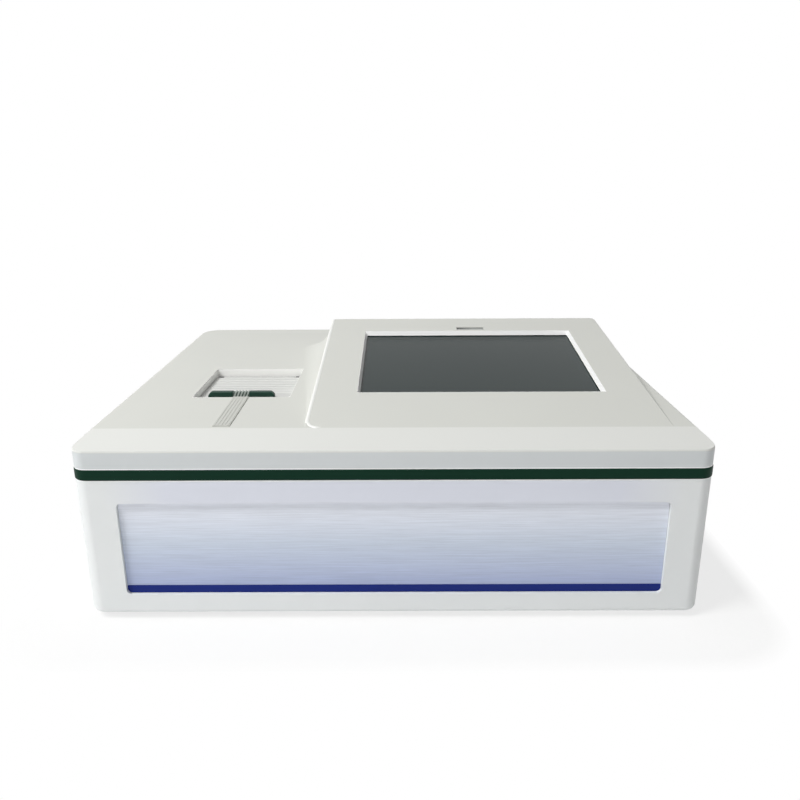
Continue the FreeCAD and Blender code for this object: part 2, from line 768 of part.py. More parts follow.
def make_upper_cover():
    """The moulded cover: blank, console, coves, sample well, screen mouth and screw bosses."""
    console = sloped_wedge("console", console_x,
                           (crease - dim.console_corner, console_back), deck - dim.wall, 0.0,
                           dim.console_corner)
    round_edges(console, "console_edge", dim.console_round, lies_on_slope)
    hollow = sloped_wedge("console_hollow", widened(console_x, -dim.wall),
                          (crease + dim.wall, console_back - dim.wall), side_top - 2 * dim.wall,
                          dim.console_skin, dim.console_corner - dim.wall / 2)
    skirt = box("well_skirt", widened(well_x, skirt_wall), widened(well_y, skirt_wall),
                (skirt_bottom, deck - dim.wall / 2))
    well = new_body("well")
    well_plan = sketch_on(well, "well_plan", "XY_Plane", skirt_bottom - 1.0)
    draw_rounded(well_plan, well_x, well_y,
                 [dim.well_corner, dim.well_corner, dim.well_back_corner, dim.well_back_corner])
    pad(well, well_plan, deck - skirt_bottom + 2.0)
    bosses = []
    for i, (x, y) in enumerate(case_screw_places):
        reach = side_top - 1.0 if number(y) < 0 else deck - dim.wall / 2
        bosses.append(rod(f"cover_boss_{i}", boss_radius, (x, y, lower_top), reach - lower_top))
    threads = [rod(f"cover_thread_{i}", screw_radius + dim.running_gap, (x, y, lower_top - 1.0),
                   screw_grip + 2.0)
               for i, (x, y) in enumerate(case_screw_places)]
    display_bosses = [slope_rod(f"display_boss_{i}", display_boss_radius, x, along, display_out[0],
                                -display_out[0] - dim.console_skin / 2)
                      for i, (x, along) in enumerate(display_boss_places)]
    display_threads = [slope_rod(f"display_thread_{i}", small_screw_radius + dim.running_gap, x, along,
                                 display_out[0] - 1.0, small_screw_grip + 1.5)
                       for i, (x, along) in enumerate(display_boss_places)]
    status_slot = slope_box("status_slot", status_x, status_along, (-dim.console_skin - 1.0, 1.0))
    relief = box("finger_relief", around(well_middle, dim.relief_width / 2),
                 (crease + relief_margin, well_y[0] + 1.0), (deck - dim.relief_depth, deck + 1.0))
    outside = fuse("cover_outside", make_cover_blank(), console, *make_coves())
    emptied = cut("cover_emptied", outside, hollow)
    carried = fuse("cover_carried", emptied, skirt, *bosses, *display_bosses)
    cover = cut("upper_cover", carried, well, *threads, *display_threads, screen_funnel(), status_slot,
                relief)
    keep("upper_cover", cover)


screw_grip = 10.0
relief_margin = 4.0


def make_screen():
    """The stack behind the console's mouth: gasket, touch glass, display, bracket and its screws."""
    opening_x = widened(screen_x, -dim.screen_bevel + dim.gasket_setback)
    opening_along = widened(screen_along, -dim.screen_bevel + dim.gasket_setback)
    gasket_out = (glass_out[1], -dim.console_skin)
    full = slope_box("gasket_blank", widened(glass_x, gasket_margin), widened(glass_along, gasket_margin),
                     gasket_out)
    hole = slope_box("gasket_hole", opening_x, opening_along, widened(gasket_out, 1.0))
    keep("screen_gasket", cut("screen_gasket", full, hole))
    keep("touch_glass", slope_box("touch_glass", glass_x, glass_along, glass_out))
    module = slope_box("display_case", widened(glass_x, -display_inset), widened(glass_along, -display_inset),
                       display_out)
    driver = slope_box("display_driver", widened(screen_x, -60.0), widened(screen_along, -50.0),
                       (display_out[0] - display_driver_height, display_out[0]))
    keep("display_module", fuse("display_module", module, driver))
    plate_x = widened(glass_x, -display_inset)
    plate_along = widened(display_boss_along, display_boss_radius)
    plate_out = (display_out[0] - dim.bracket_thickness, display_out[0])
    plate = slope_box("bracket_blank", plate_x, plate_along, plate_out)
    window = slope_box("bracket_window", widened(screen_x, -50.0), widened(screen_along, -40.0),
                       widened(plate_out, 1.0))
    holes = [slope_rod(f"bracket_hole_{i}", small_screw_radius + dim.running_gap, x, along,
                       plate_out[0] - 1.0, dim.bracket_thickness + 2.0)
             for i, (x, along) in enumerate(display_boss_places)]
    keep("display_bracket", cut("display_bracket", plate, window, *holes))
    screws = []
    for i, (x, along) in enumerate(display_boss_places):
        shank = slope_rod(f"display_shank_{i}", small_screw_radius, x, along, plate_out[0],
                          dim.bracket_thickness + small_screw_grip)
        head = slope_rod(f"display_head_{i}", small_head_radius, x, along,
                         plate_out[0] - small_head_height, small_head_height)
        screws.append(fuse(f"display_screw_{i}", shank, head))
    lamp_x = widened(status_x, -dim.running_gap)
    lamp_along = widened(status_along, -dim.running_gap)
    lens = slope_box("status_lens", lamp_x, lamp_along, (-dim.console_skin, -status_setback))
    flange = slope_box("status_flange", widened(status_x, 2.0),
                       (glass_along[1] + dim.fit_gap, status_along[1] + 2.0),
                       (-dim.console_skin - status_flange, -dim.console_skin))
    keep("status_window", fuse("status_window", lens, flange))
    return screws


small_screw_radius = 1.25
small_head_radius = 2.4
small_head_height = 1.6
small_screw_grip = 6.0
display_driver_height = 4.0
display_inset = 2.0
gasket_margin = -1.0
status_setback = 0.7
status_flange = 1.2

chamber_margin = 8.0
chamber_back_margin = 15.0
chamber_wall = 2.5
chamber_floor = 3.0
rim_thickness = 2.0
ear_width = 5.0
ear_inset = 2.0
window_radius = 8.0
window_thickness = 2.0
rim_x = widened(well_x, -dim.seat_gap)
rim_y = widened(well_y, -dim.seat_gap)
cavity_x = widened(well_x, -chamber_margin)
cavity_y = (well_y[0] + chamber_margin, well_y[1] - chamber_back_margin)
beam_y = (cavity_y[0] + cavity_y[1]) / 2
beam_z = shell_bottom + dim.beam_height
chamber_middle = (cavity_x[0] + cavity_x[1]) / 2
left_ear = (rim_x[0] + ear_inset, rim_x[0] + ear_inset + ear_width)
right_ear = (rim_x[1] - ear_inset - ear_width, rim_x[1] - ear_inset)
barrel_x = (left_ear[1] + dim.lid_gap, right_ear[0] - dim.lid_gap)
barrel_radius = dim.lid_thickness / 2


def make_sample_chamber():
    """The dark box under the lid, with its rim, hinge ears and beam holes, and the two windows."""
    outer = box("chamber_outer", widened(cavity_x, chamber_wall), widened(cavity_y, chamber_wall),
                (bench_top, rim_top))
    rim = rounded_plate("chamber_rim", rim_x, rim_y, (rim_top - rim_thickness, rim_top),
                        [dim.well_corner - dim.seat_gap] * 2 + [dim.well_back_corner - dim.seat_gap] * 2)
    ears = []
    for side, span in (("left", left_ear), ("right", right_ear)):
        ears.append(box(f"{side}_ear_post", span, (hinge_y - barrel_radius, hinge_y + barrel_radius),
                        (rim_top - rim_thickness / 2, hinge_z)))
        ears.append(rod(f"{side}_ear_eye", barrel_radius, (span[0], hinge_y, hinge_z), ear_width, "x"))
    solid = fuse("chamber_solid", outer, rim, *ears)
    hollow = box("chamber_hollow", cavity_x, cavity_y, (bench_top + chamber_floor, rim_top + 1.0))
    beam = rod("chamber_beam", window_radius, (cavity_x[0] - 2 * chamber_wall, beam_y, beam_z),
               cavity_x[1] - cavity_x[0] + 4 * chamber_wall, "x")
    pin_hole = rod("ear_holes", dim.pin_radius + 0.02, (rim_x[0] - 1.0, hinge_y, hinge_z),
                   rim_x[1] - rim_x[0] + 2.0, "x")
    keep("sample_chamber", cut("sample_chamber", solid, hollow, beam, pin_hole))
    window_starts = (("left", cavity_x[0] - window_thickness), ("right", cavity_x[1]))
    windows = [rod(f"{side}_window", window_radius - dim.running_gap, (x, beam_y, beam_z),
                   window_thickness, "x")
               for side, x in window_starts]
    keep("chamber_windows", gather("chamber_windows", windows))
    keep("lid_hinge_pin", rod("lid_hinge_pin", dim.pin_radius, (left_ear[0], hinge_y, hinge_z),
                              right_ear[1] - left_ear[0], "x"))


holder_x = (chamber_middle - 28.0, chamber_middle + 28.0)
holder_y = (beam_y - 15.0, beam_y + 15.0)
holder_z = (bench_top + chamber_floor, beam_z + 16.0)
cell_slot_x = (chamber_middle - 20.4, chamber_middle + 20.4)
cell_slot_y = (beam_y - 6.5, beam_y + 8.2)
cell_slot_low = beam_z - 22.0
thumb_radius = 9.0


def make_cuvette_holder():
    """The block that takes a long rectangular cell across the beam, and the leaf that presses it."""
    block = box("holder_block", holder_x, holder_y, holder_z)
    slot = box("cell_slot", cell_slot_x, cell_slot_y, (cell_slot_low, holder_z[1] + 1.0))
    beam = rod("holder_beam", 6.0, (holder_x[0] - 1.0, beam_y, beam_z), holder_x[1] - holder_x[0] + 2.0, "x")
    thumb = rod("thumb_notch", thumb_radius, (chamber_middle, holder_y[0] - 1.0, holder_z[1]),
                holder_y[1] - holder_y[0] + 2.0, "y")
    keep("cuvette_holder", cut("cuvette_holder", block, slot, beam, thumb))
    leaf = new_body("holder_spring")
    outline = sketch_on(leaf, "leaf_outline", "YZ_Plane", chamber_middle - leaf_width / 2)
    wall = cell_slot_y[1]
    low = cell_slot_low + 2.0
    high = holder_z[1] - 11.0
    middle = (low + high) / 2
    belly = 1.4
    draw_polygon(outline, [
        (wall - leaf_thickness, low), (wall, low), (wall - belly + leaf_thickness, middle), (wall, high),
        (wall - leaf_thickness, high), (wall - belly, middle)])
    pad(leaf, outline, leaf_width)
    keep("holder_spring", leaf)


leaf_width = 9.0
leaf_thickness = 0.4


pull_middle = well_middle + dim.pull_offset
pull_x = around(pull_middle, dim.pull_width / 2)
pull_y = (well_y[0] + dim.pull_setback, well_y[0] + dim.pull_setback + dim.pull_thickness)
pull_top = lid_top + dim.pull_height
grip_x = around(pull_middle, dim.grip_width / 2)
grip_low = lid_top + 1.0


def make_sample_lid():
    """The lid: plate with a hinge barrel and a light trap under it, the green pull and its grip."""
    front_round = dim.well_corner - dim.lid_gap
    plate = rounded_plate("lid_plate", widened(well_x, -dim.lid_gap),
                          (well_y[0] + dim.lid_gap, hinge_y - ear_clear), (lid_bottom, lid_top),
                          [front_round, front_round, rear_round, rear_round])
    tongue = box("lid_tongue", barrel_x, (hinge_y - ear_clear - 1.0, hinge_y), (lid_bottom, lid_top))
    barrel = rod("lid_barrel", barrel_radius, (barrel_x[0], hinge_y, hinge_z), barrel_x[1] - barrel_x[0], "x")
    trap_outer = box("trap_outer", widened(cavity_x, -trap_gap), widened(cavity_y, -trap_gap),
                     (lid_bottom - trap_depth, lid_bottom))
    trap_inner = box("trap_inner", widened(cavity_x, -trap_gap - trap_wall),
                     widened(cavity_y, -trap_gap - trap_wall), (lid_bottom - trap_depth - 1.0, lid_bottom))
    trap = cut("light_trap", trap_outer, trap_inner)
    bore = rod("lid_bore", dim.pin_radius + dim.running_gap, (barrel_x[0] - 1.0, hinge_y, hinge_z),
               barrel_x[1] - barrel_x[0] + 2.0, "x")
    keep("sample_lid", cut("sample_lid", fuse("lid_solid", plate, tongue, barrel, trap), bore))
    pull = new_body("lid_pull")
    profile = sketch_on(pull, "pull_profile", "XZ_Plane", -pull_y[1])
    draw_rounded(profile, pull_x, (lid_top, pull_top), [0.5, 0.5, pull_corner, pull_corner])
    pad(pull, profile, dim.pull_thickness)
    round_edges(pull, "pull_round", 1.0, lambda edge: lies_at(edge, "Z", pull_top))
    seat = sketch_on(pull, "grip_seat", "YZ_Plane", grip_x[1] + dim.running_gap)
    draw_saddle(seat, -1.0, grip_seat_depth, grip_low)
    pocket(pull, seat, dim.grip_width + 2 * dim.running_gap)
    keep("lid_pull", pull)
    grip = new_body("pull_grip")
    inner = grip_seat_depth - dim.running_gap
    saddle = sketch_on(grip, "grip_profile", "YZ_Plane", grip_x[0])
    draw_saddle(saddle, rib_height, inner, grip_low + dim.running_gap)
    pad(grip, saddle, dim.grip_width)
    rib = sketch_on(grip, "grip_rib", "YZ_Plane", grip_x[0])
    draw_saddle(rib, 0.0, inner, grip_low + 2 * rib_height, rib_bevel)
    first_rib = pad(grip, rib, rib_width)
    row = grip.newObject("PartDesign::LinearPattern", "grip_ribs")
    row.Originals = [first_rib]
    row.Direction = (first_rib.Profile[0], ["N_Axis"])
    bind(row, "Length", dim.grip_width - rib_width)
    row.Occurrences = rib_count
    grip.Tip = row
    keep("pull_grip", grip)


def draw_saddle(sketch, outer, inner, low, bevel=0.0):
    """A band over the pull, between two depths below its front, top and back faces."""
    ahead = pull_y[0] + outer
    behind = pull_y[1] - outer
    above = pull_top - outer
    outside = [(behind, low), (behind, above), (ahead, above)]
    if bevel:
        outside = [(behind, low), (behind, above - bevel), (behind - bevel, above),
                   (ahead + bevel, above), (ahead, above - bevel)]
    draw_polygon(sketch, [
        (ahead, low), (pull_y[0] + inner, low), (pull_y[0] + inner, pull_top - inner),
        (pull_y[1] - inner, pull_top - inner), (pull_y[1] - inner, low)] + outside)


ear_clear = 3.0
rear_round = 0.5
trap_gap = 1.2
trap_wall = 1.5
trap_depth = 5.0
pull_corner = 5.0
grip_seat_depth = 1.2
rib_height = 0.5
rib_bevel = 0.6
rib_width = 1.4
rib_count = 5

bench_x = (-half_width + 14.0, half_width - 126.0)
bench_y = (beam_y - 71.5, beam_y + 158.5)
standoff_inset = 12.0
standoff_places = [(x, y) for x in widened(bench_x, -standoff_inset)
                   for y in widened(bench_y, -standoff_inset)]
case_x = (-half_width + 188.0, bench_x[1] - 6.0)
case_y = (beam_y - 37.5, bench_y[1] - 6.0)
case_wall = 2.0
case_top = bench_top + 84.0
exit_y = beam_y + 121.5
turret_x = case_x[0] + 54.0
turret_y = beam_y + 62.5
gear_module = 1.0
gear_teeth = 72
pinion_teeth = 18
gear_distance = gear_module * (gear_teeth + pinion_teeth) / 2
gear_low = bench_top + 37.0
gear_thickness = 5.0
table_low = gear_low + gear_thickness
table_thickness = 3.0
post_radius = 8.0
turret_pin_radius = 3.0


def make_bench():
    """The aluminium plate that carries the optics, on four pillars with their screws."""
    plate = new_body("optical_bench")
    outline = sketch_on(plate, "bench_outline", "XY_Plane", bench_low)
    draw_rounded(outline, bench_x, bench_y, [8.0] * 4)
    pad(plate, outline, dim.bench_thickness)
    holes = sketch_on(plate, "bench_holes", "XY_Plane", bench_top)
    for x, y in standoff_places:
        draw_circle(holes, x, y, bench_screw_radius + dim.running_gap)
    pocket(plate, holes, dim.bench_thickness + 1.0)
    keep("optical_bench", plate)
    pillars = []
    screws = []
    for i, (x, y) in enumerate(standoff_places):
        pillar = rod(f"pillar_{i}", 5.0, (x, y, floor_top), dim.standoff_height)
        hole = rod(f"pillar_hole_{i}", bench_screw_radius + dim.running_gap, (x, y, bench_low - 9.0), 10.0)
        pillars.append(cut(f"pillar_body_{i}", pillar, hole))
        shank = rod(f"bench_shank_{i}", bench_screw_radius, (x, y, bench_low - 8.0),
                    dim.bench_thickness + 8.0)
        head = rod(f"bench_head_{i}", 3.4, (x, y, bench_top), 2.4)
        screws.append(fuse(f"bench_screw_{i}", shank, head))
    return pillars, screws


bench_screw_radius = 1.95
lamp_x = (-half_width + 16.0, cavity_x[0] - chamber_wall - 6.0)
lamp_y = (beam_y - 26.0, beam_y + 26.0)
lamp_z = (bench_top, bench_top + 88.0)
lamp_middle = lamp_x[0] + 24.0
lamp_stem = 22.0
house_slot_pitch = 8.0
bulb_radius = 5.0


def make_lamp_unit():
    """The source: a slotted metal house, a halogen capsule on its base, and the concave reflector."""
    outer = box("house_outer", lamp_x, lamp_y, lamp_z)
    inner = box("house_inner", widened(lamp_x, -2.0), widened(lamp_y, -2.0), (lamp_z[0], lamp_z[1] - 2.0))
    port = rod("house_port", 7.0, (lamp_x[1] - 3.0, beam_y, beam_z), 4.0, "x")
    slots = [box(f"house_slot_{i}", widened(lamp_x, -6.0),
                 (lamp_y[0] + house_slot_pitch * (i + 1), lamp_y[0] + house_slot_pitch * (i + 1) + 3.0),
                 (lamp_z[1] - 3.0, lamp_z[1] + 1.0)) for i in range(5)]
    keep("lamp_house", cut("lamp_house", outer, inner, port, *slots))
    base = box("lamp_base", (lamp_middle - 8.0, lamp_middle + 8.0), (beam_y - 8.0, beam_y + 8.0),
               (bench_top, beam_z - lamp_stem))
    neck = rod("lamp_neck", bulb_radius - 1.0, (lamp_middle, beam_y, beam_z - lamp_stem), lamp_stem / 2)
    bulb = rod("lamp_bulb", bulb_radius, (lamp_middle, beam_y, beam_z - lamp_stem / 2),
               lamp_stem / 2 + bulb_radius)
    dome = doc.addObject("Part::Sphere", "lamp_dome")
    bind(dome, "Radius", bulb_radius)
    place(dome, lamp_middle, beam_y, beam_z + bulb_radius)
    keep("ir_lamp", fuse("ir_lamp", base, neck, bulb, dome))
    disc = rod("reflector_disc", 13.0, (lamp_x[0] + 2.0, beam_y, beam_z), 9.0, "x")
    ball = doc.addObject("Part::Sphere", "reflector_ball")
    bind(ball, "Radius", 22.0)
    place(ball, lamp_x[0] + 2.0 + 25.0, beam_y, beam_z)
    keep("lamp_reflector", cut("lamp_reflector", disc, ball))


chopper_axis_z = beam_z - 22.0
chopper_x = cavity_x[1] + chamber_wall + 8.0
chopper_motor_length = 20.0


def make_chopper():
    """The beam chopper: a four-windowed wheel on a small motor, held by a folded bracket."""
    wheel = new_body("chopper_wheel")
    disc = sketch_on(wheel, "chopper_disc", "YZ_Plane")
    draw_circle(disc, 0.0, 0.0, 29.0)
    pad(wheel, disc, chopper_blade)
    window = sketch_on(wheel, "chopper_window", "YZ_Plane", chopper_blade)
    draw_polygon(window, [(-5.0, 14.0), (5.0, 14.0), (15.0, 32.0), (-15.0, 32.0)])
    opening = pocket(wheel, window, chopper_blade + 1.0)
    ring = wheel.newObject("PartDesign::PolarPattern", "chopper_windows")
    ring.Originals = [opening]
    ring.Axis = (disc, ["N_Axis"])
    ring.Angle = 360
    ring.Occurrences = 4
    wheel.Tip = ring
    hub = sketch_on(wheel, "chopper_hub", "YZ_Plane", -2.0)
    draw_circle(hub, 0.0, 0.0, 6.0)
    pad(wheel, hub, chopper_blade + 4.0)
    shaft = sketch_on(wheel, "chopper_shaft", "YZ_Plane")
    draw_circle(shaft, 0.0, 0.0, shaft_radius)
    pad(wheel, shaft, chopper_blade + 3.0 + 12.0)
    place(wheel, chopper_x, beam_y, chopper_axis_z)
    keep("chopper_wheel", wheel)
    start = chopper_x + chopper_blade + 2.0 + dim.seat_gap
    can = rod("motor_can", 12.0, (start, beam_y, chopper_axis_z), chopper_motor_length, "x")
    bore = rod("motor_bore", shaft_radius + dim.running_gap, (start - 1.0, beam_y, chopper_axis_z), 15.0, "x")
    keep("chopper_motor", cut("chopper_motor", can, bore))
    plate_x = (start + chopper_motor_length, start + chopper_motor_length + 2.0)
    plate_y = around(beam_y, 15.0)
    upright = box("bracket_upright", plate_x, plate_y, (bench_top, chopper_axis_z + 15.0))
    foot = box("bracket_foot", (plate_x[0] - 14.0, plate_x[1]), plate_y, (bench_top, bench_top + 2.0))
    keep("chopper_bracket", fuse("chopper_bracket", upright, foot))


chopper_blade = 1.0
shaft_radius = 1.5


def make_monochromator():
    """The dark box of the monochromator with its slits, fixed mirrors and cover plate."""
    outer = box("mono_outer", case_x, case_y, (bench_top, case_top))
    inner = box("mono_inner", widened(case_x, -case_wall), widened(case_y, -case_wall),
                (bench_top - 1.0, case_top + 1.0))
    ports = [rod(f"mono_port_{i}", 6.0, (case_x[0] - 1.0, y, beam_z), 4.0, "x")
             for i, y in enumerate((beam_y, exit_y))]
    keep("monochromator_case", cut("monochromator_case", outer, inner, *ports))
    keep("monochromator_lid", box("monochromator_lid", case_x, case_y, (case_top, case_top + 1.5)))
    slits = []
    for name, y in (("entrance_slit", beam_y), ("exit_slit", exit_y)):
        plate = box(name + "_plate", (case_x[0] - 1.0, case_x[0]), (y - 12.0, y + 12.0),
                    (beam_z - 12.0, beam_z + 12.0))
        gap = box(name + "_gap", (case_x[0] - 2.0, case_x[0] + 1.0), (y - 0.4, y + 0.4),
                  (beam_z - 5.0, beam_z + 5.0))
        slits.append(cut(name, plate, gap))
    keep("slit_plates", gather("slit_plates", slits))
    mirrors = []
    mounts = []
    for name, y in (("collimating", beam_y + 8.0), ("focusing", exit_y - 12.0)):
        face = mirror_x
        disc = rod(name + "_disc", 16.0, (face, y, beam_z), 9.0, "x")
        ball = doc.addObject("Part::Sphere", name + "_ball")
        bind(ball, "Radius", mirror_curve)
        place(ball, face - mirror_curve + 1.6, y, beam_z)
        mirrors.append(cut(name + "_mirror", disc, ball))
        mount_x = (face + 9.0, face + 13.0)
        upright = box(name + "_upright", mount_x, (y - 15.0, y + 15.0), (bench_top, beam_z + 15.0))
        foot = box(name + "_foot", (mount_x[0] - 12.0, mount_x[1]), (y - 15.0, y + 15.0),
                   (bench_top, bench_top + 3.0))
        mounts.append(fuse(name + "_mount", upright, foot))
    keep("fixed_mirrors", gather("fixed_mirrors", mirrors))
    keep("mirror_mounts", gather("mirror_mounts", mounts))


mirror_x = case_x[1] - 24.0
mirror_curve = 120.0


def involute_point(base_radius, roll):
    """A point on the involute of a circle, unrolled by an angle in radians."""
    x = base_radius * (math.cos(roll) + roll * math.sin(roll))
    y = base_radius * (math.sin(roll) - roll * math.cos(roll))
    return math.hypot(x, y), math.atan2(y, x)


def tooth_edges(teeth, centre_angle, backlash):
    """One involute tooth as edges round its axis: a flank, the tip and the other flank."""
    pitch = gear_module * teeth / 2
    base = pitch * math.cos(math.radians(20))
    root = pitch - 1.25 * gear_module
    tip = pitch + gear_module
    pitch_angle = math.tan(math.radians(20)) - math.radians(20)
    half = (math.pi * gear_module / 2 - backlash) / 2 / pitch + pitch_angle
    end_roll = math.sqrt((tip / base) ** 2 - 1)
    start_roll = math.sqrt(max((root / base) ** 2 - 1, 0))
    steps = 4
    right = []
    for step in range(steps + 1):
        roll = start_roll + (end_roll - start_roll) * step / steps
        radius, angle = involute_point(base, roll)
        right.append((radius, angle - half))
    if root < base:
        right.insert(0, (root, right[0][1]))
    left = [(radius, -angle) for radius, angle in reversed(right)]

    def spot(radius, angle):
        turned_angle = angle + centre_angle
        return FreeCAD.Vector(radius * math.cos(turned_angle), radius * math.sin(turned_angle), 0)

    edges = []
    for side in (right, left):
        stem = []
        curve = [spot(radius, angle) for radius, angle in side]
        if root < base and side is right:
            stem = [Part.makeLine(curve[0], curve[1])]
            curve = curve[1:]
        tail = []
        if root < base and side is left:
            tail = [Part.makeLine(curve[-2], curve[-1])]
            curve = curve[:-1]
        flank = Part.BSplineCurve()
        flank.interpolate(curve)
        edges.append(stem + [flank.toShape()] + tail)
    tip_arc = Part.Arc(spot(*right[-1]), spot(tip, 0.0), spot(*left[0])).toShape()
    ends = spot(*right[0]), spot(*left[-1]), left[-1][1] + centre_angle
    return edges[0] + [tip_arc] + edges[1], ends


def toothed_outline(teeth, angles, backlash):
    """Teeth at the given angles joined along the root circle; the first and last ends are open."""
    root = gear_module * teeth / 2 - 1.25 * gear_module
    edges = []
    previous = None
    first = None
    for angle in angles:
        tooth, (start, end, end_angle) = tooth_edges(teeth, angle, backlash)
        if previous:
            middle = (previous[1] + angle - (end_angle - angle)) / 2
            between = FreeCAD.Vector(root * math.cos(middle), root * math.sin(middle), 0)
            edges.append(Part.Arc(previous[0], between, start).toShape())
        edges.extend(tooth)
        previous = (end, end_angle)
        first = first or (start, angle - (end_angle - angle))
    return edges, first, previous


def prism(edges, height):
    wire = Part.Wire(Part.__sortEdges__(edges))
    return Part.Face(wire).extrude(FreeCAD.Vector(0, 0, height))


def make_drive_gear():
    """The toothed sector clamped round the turret's neck."""
    pitch_step = 2 * math.pi / gear_teeth
    angles = [pitch_step * step for step in range(-sector_half, sector_half + 1)]
    edges, first, last = toothed_outline(gear_teeth, angles, gear_backlash)
    inner = hub_radius + 4.0
    reach = first[1]
    start = FreeCAD.Vector(inner * math.cos(reach), inner * math.sin(reach), 0)
    end = FreeCAD.Vector(inner * math.cos(last[1]), inner * math.sin(last[1]), 0)
    edges.append(Part.makeLine(last[0], end))
    edges.append(Part.Arc(end, FreeCAD.Vector(-inner, 0, 0), start).toShape())
    edges.append(Part.makeLine(start, first[0]))
    solid = prism(edges, gear_thickness)
    bore = Part.makeCylinder(hub_radius + 0.02, gear_thickness)
    made = doc.addObject("Part::Feature", "drive_gear")
    made.Shape = solid.cut(bore)
    place(made, turret_x, turret_y, gear_low)
    keep("drive_gear", made)


def make_drive_pinion():
    """The motor's pinion on its shaft."""
    pitch_step = 2 * math.pi / pinion_teeth
    angles = [math.pi + pitch_step * (step + 0.5) for step in range(pinion_teeth)]
    edges, first, last = toothed_outline(pinion_teeth, angles, gear_backlash)
    root = gear_module * pinion_teeth / 2 - 1.25 * gear_module
    middle = (last[1] + first[1] + 2 * math.pi) / 2
    between = FreeCAD.Vector(root * math.cos(middle), root * math.sin(middle), 0)
    edges.append(Part.Arc(last[0], between, first[0]).toShape())
    wheel = prism(edges, gear_thickness + 1.0)
    shaft = Part.makeCylinder(2.5, 18.0, FreeCAD.Vector(0, 0, -15.0))
    made = doc.addObject("Part::Feature", "drive_pinion")
    made.Shape = wheel.fuse(shaft).removeSplitter()
    place(made, turret_x + gear_distance, turret_y, gear_low - 0.5)
    keep("drive_pinion", made)


sector_half = 7
gear_backlash = 0.12
hub_radius = 6.0


def make_turret():
    """The grating's turntable on its fixed post, and the ruled block that it turns."""
    column = rod("post_column", post_radius, (turret_x, turret_y, bench_top), gear_low - 2.0 - bench_top)
    pin = rod("post_pin", turret_pin_radius, (turret_x, turret_y, bench_top), table_low - bench_top)
    flange = rod("post_flange", 14.0, (turret_x, turret_y, bench_top), 3.0)
    keep("turret_post", fuse("turret_post", column, pin, flange))
    neck = rod("turret_neck", hub_radius, (turret_x, turret_y, gear_low - 1.7), table_low - gear_low + 1.7)
    table = rod("turret_table", 17.0, (turret_x, turret_y, table_low), table_thickness)
    bore = rod("turret_bore", turret_pin_radius + dim.running_gap, (turret_x, turret_y, gear_low - 3.0),
               table_low - gear_low + 3.2)
    back_plate = box("turret_back", (turret_x - 5.0, turret_x - 2.0), (turret_y - 14.0, turret_y + 14.0),
                     (table_low + table_thickness, beam_z + 13.0))
    keep("grating_turret", cut("grating_turret", fuse("turret_solid", neck, table, back_plate), bore))
    keep("diffraction_grating", box("diffraction_grating", (turret_x - 2.0, turret_x + 4.0),
                                    (turret_y - 13.0, turret_y + 13.0),
                                    (table_low + table_thickness, beam_z + 13.0)))
    motor_x = turret_x + gear_distance
    motor_top = gear_low - 2.0
    block = box("stepper_block", (motor_x - 21.0, motor_x + 21.0), (turret_y - 21.0, turret_y + 21.0),
                (bench_top, motor_top))
    boss = rod("stepper_boss", 8.0, (motor_x, turret_y, motor_top), 1.0)
    bore = rod("stepper_bore", 2.5 + dim.running_gap, (motor_x, turret_y, motor_top - 15.0), 20.0)
    keep("stepper_motor", cut("stepper_motor", fuse("stepper_solid", block, boss), bore))


def make_detector():
    """The detector can on its amplifier board behind the exit slit."""
    can = rod("detector_can", 7.5, (case_x[0] - 15.0, exit_y, beam_z), 9.0, "x")
    brim = rod("detector_brim", 9.0, (case_x[0] - 15.0, exit_y, beam_z), 2.0, "x")
    keep("ir_detector", fuse("ir_detector", can, brim))
    board_x = (case_x[0] - 17.0, case_x[0] - 15.0)
    keep("preamp_board", box("preamp_board", board_x, (exit_y - 22.0, exit_y + 22.0),
                             (bench_top + 2.0, beam_z + 18.0)))
    rail = box("preamp_rail", (board_x[0] - 3.0, board_x[1]), (exit_y - 24.0, exit_y + 24.0),
               (bench_top, bench_top + 2.0))
    back_rail = box("preamp_stop", (board_x[0] - 3.0, board_x[0]), (exit_y - 24.0, exit_y + 24.0),
                    (bench_top, bench_top + 16.0))
    keep("preamp_bracket", fuse("preamp_bracket", rail, back_rail))


board_x = (bench_x[1] + 8.0, half_width - 36.0)
board_y = (front + 16.5, front + 166.5)
board_low = floor_top + foot_boss_height + 1.0
board_thickness = 1.6
board_hole_inset = 5.0
board_hole_places = [(x, y) for x in widened(board_x, -board_hole_inset)
                     for y in widened(board_y, -board_hole_inset)]
supply_x = (half_width - 116.0, half_width - 18.0)
supply_y = (back - 200.5, back - 57.5)
supply_height = 40.0


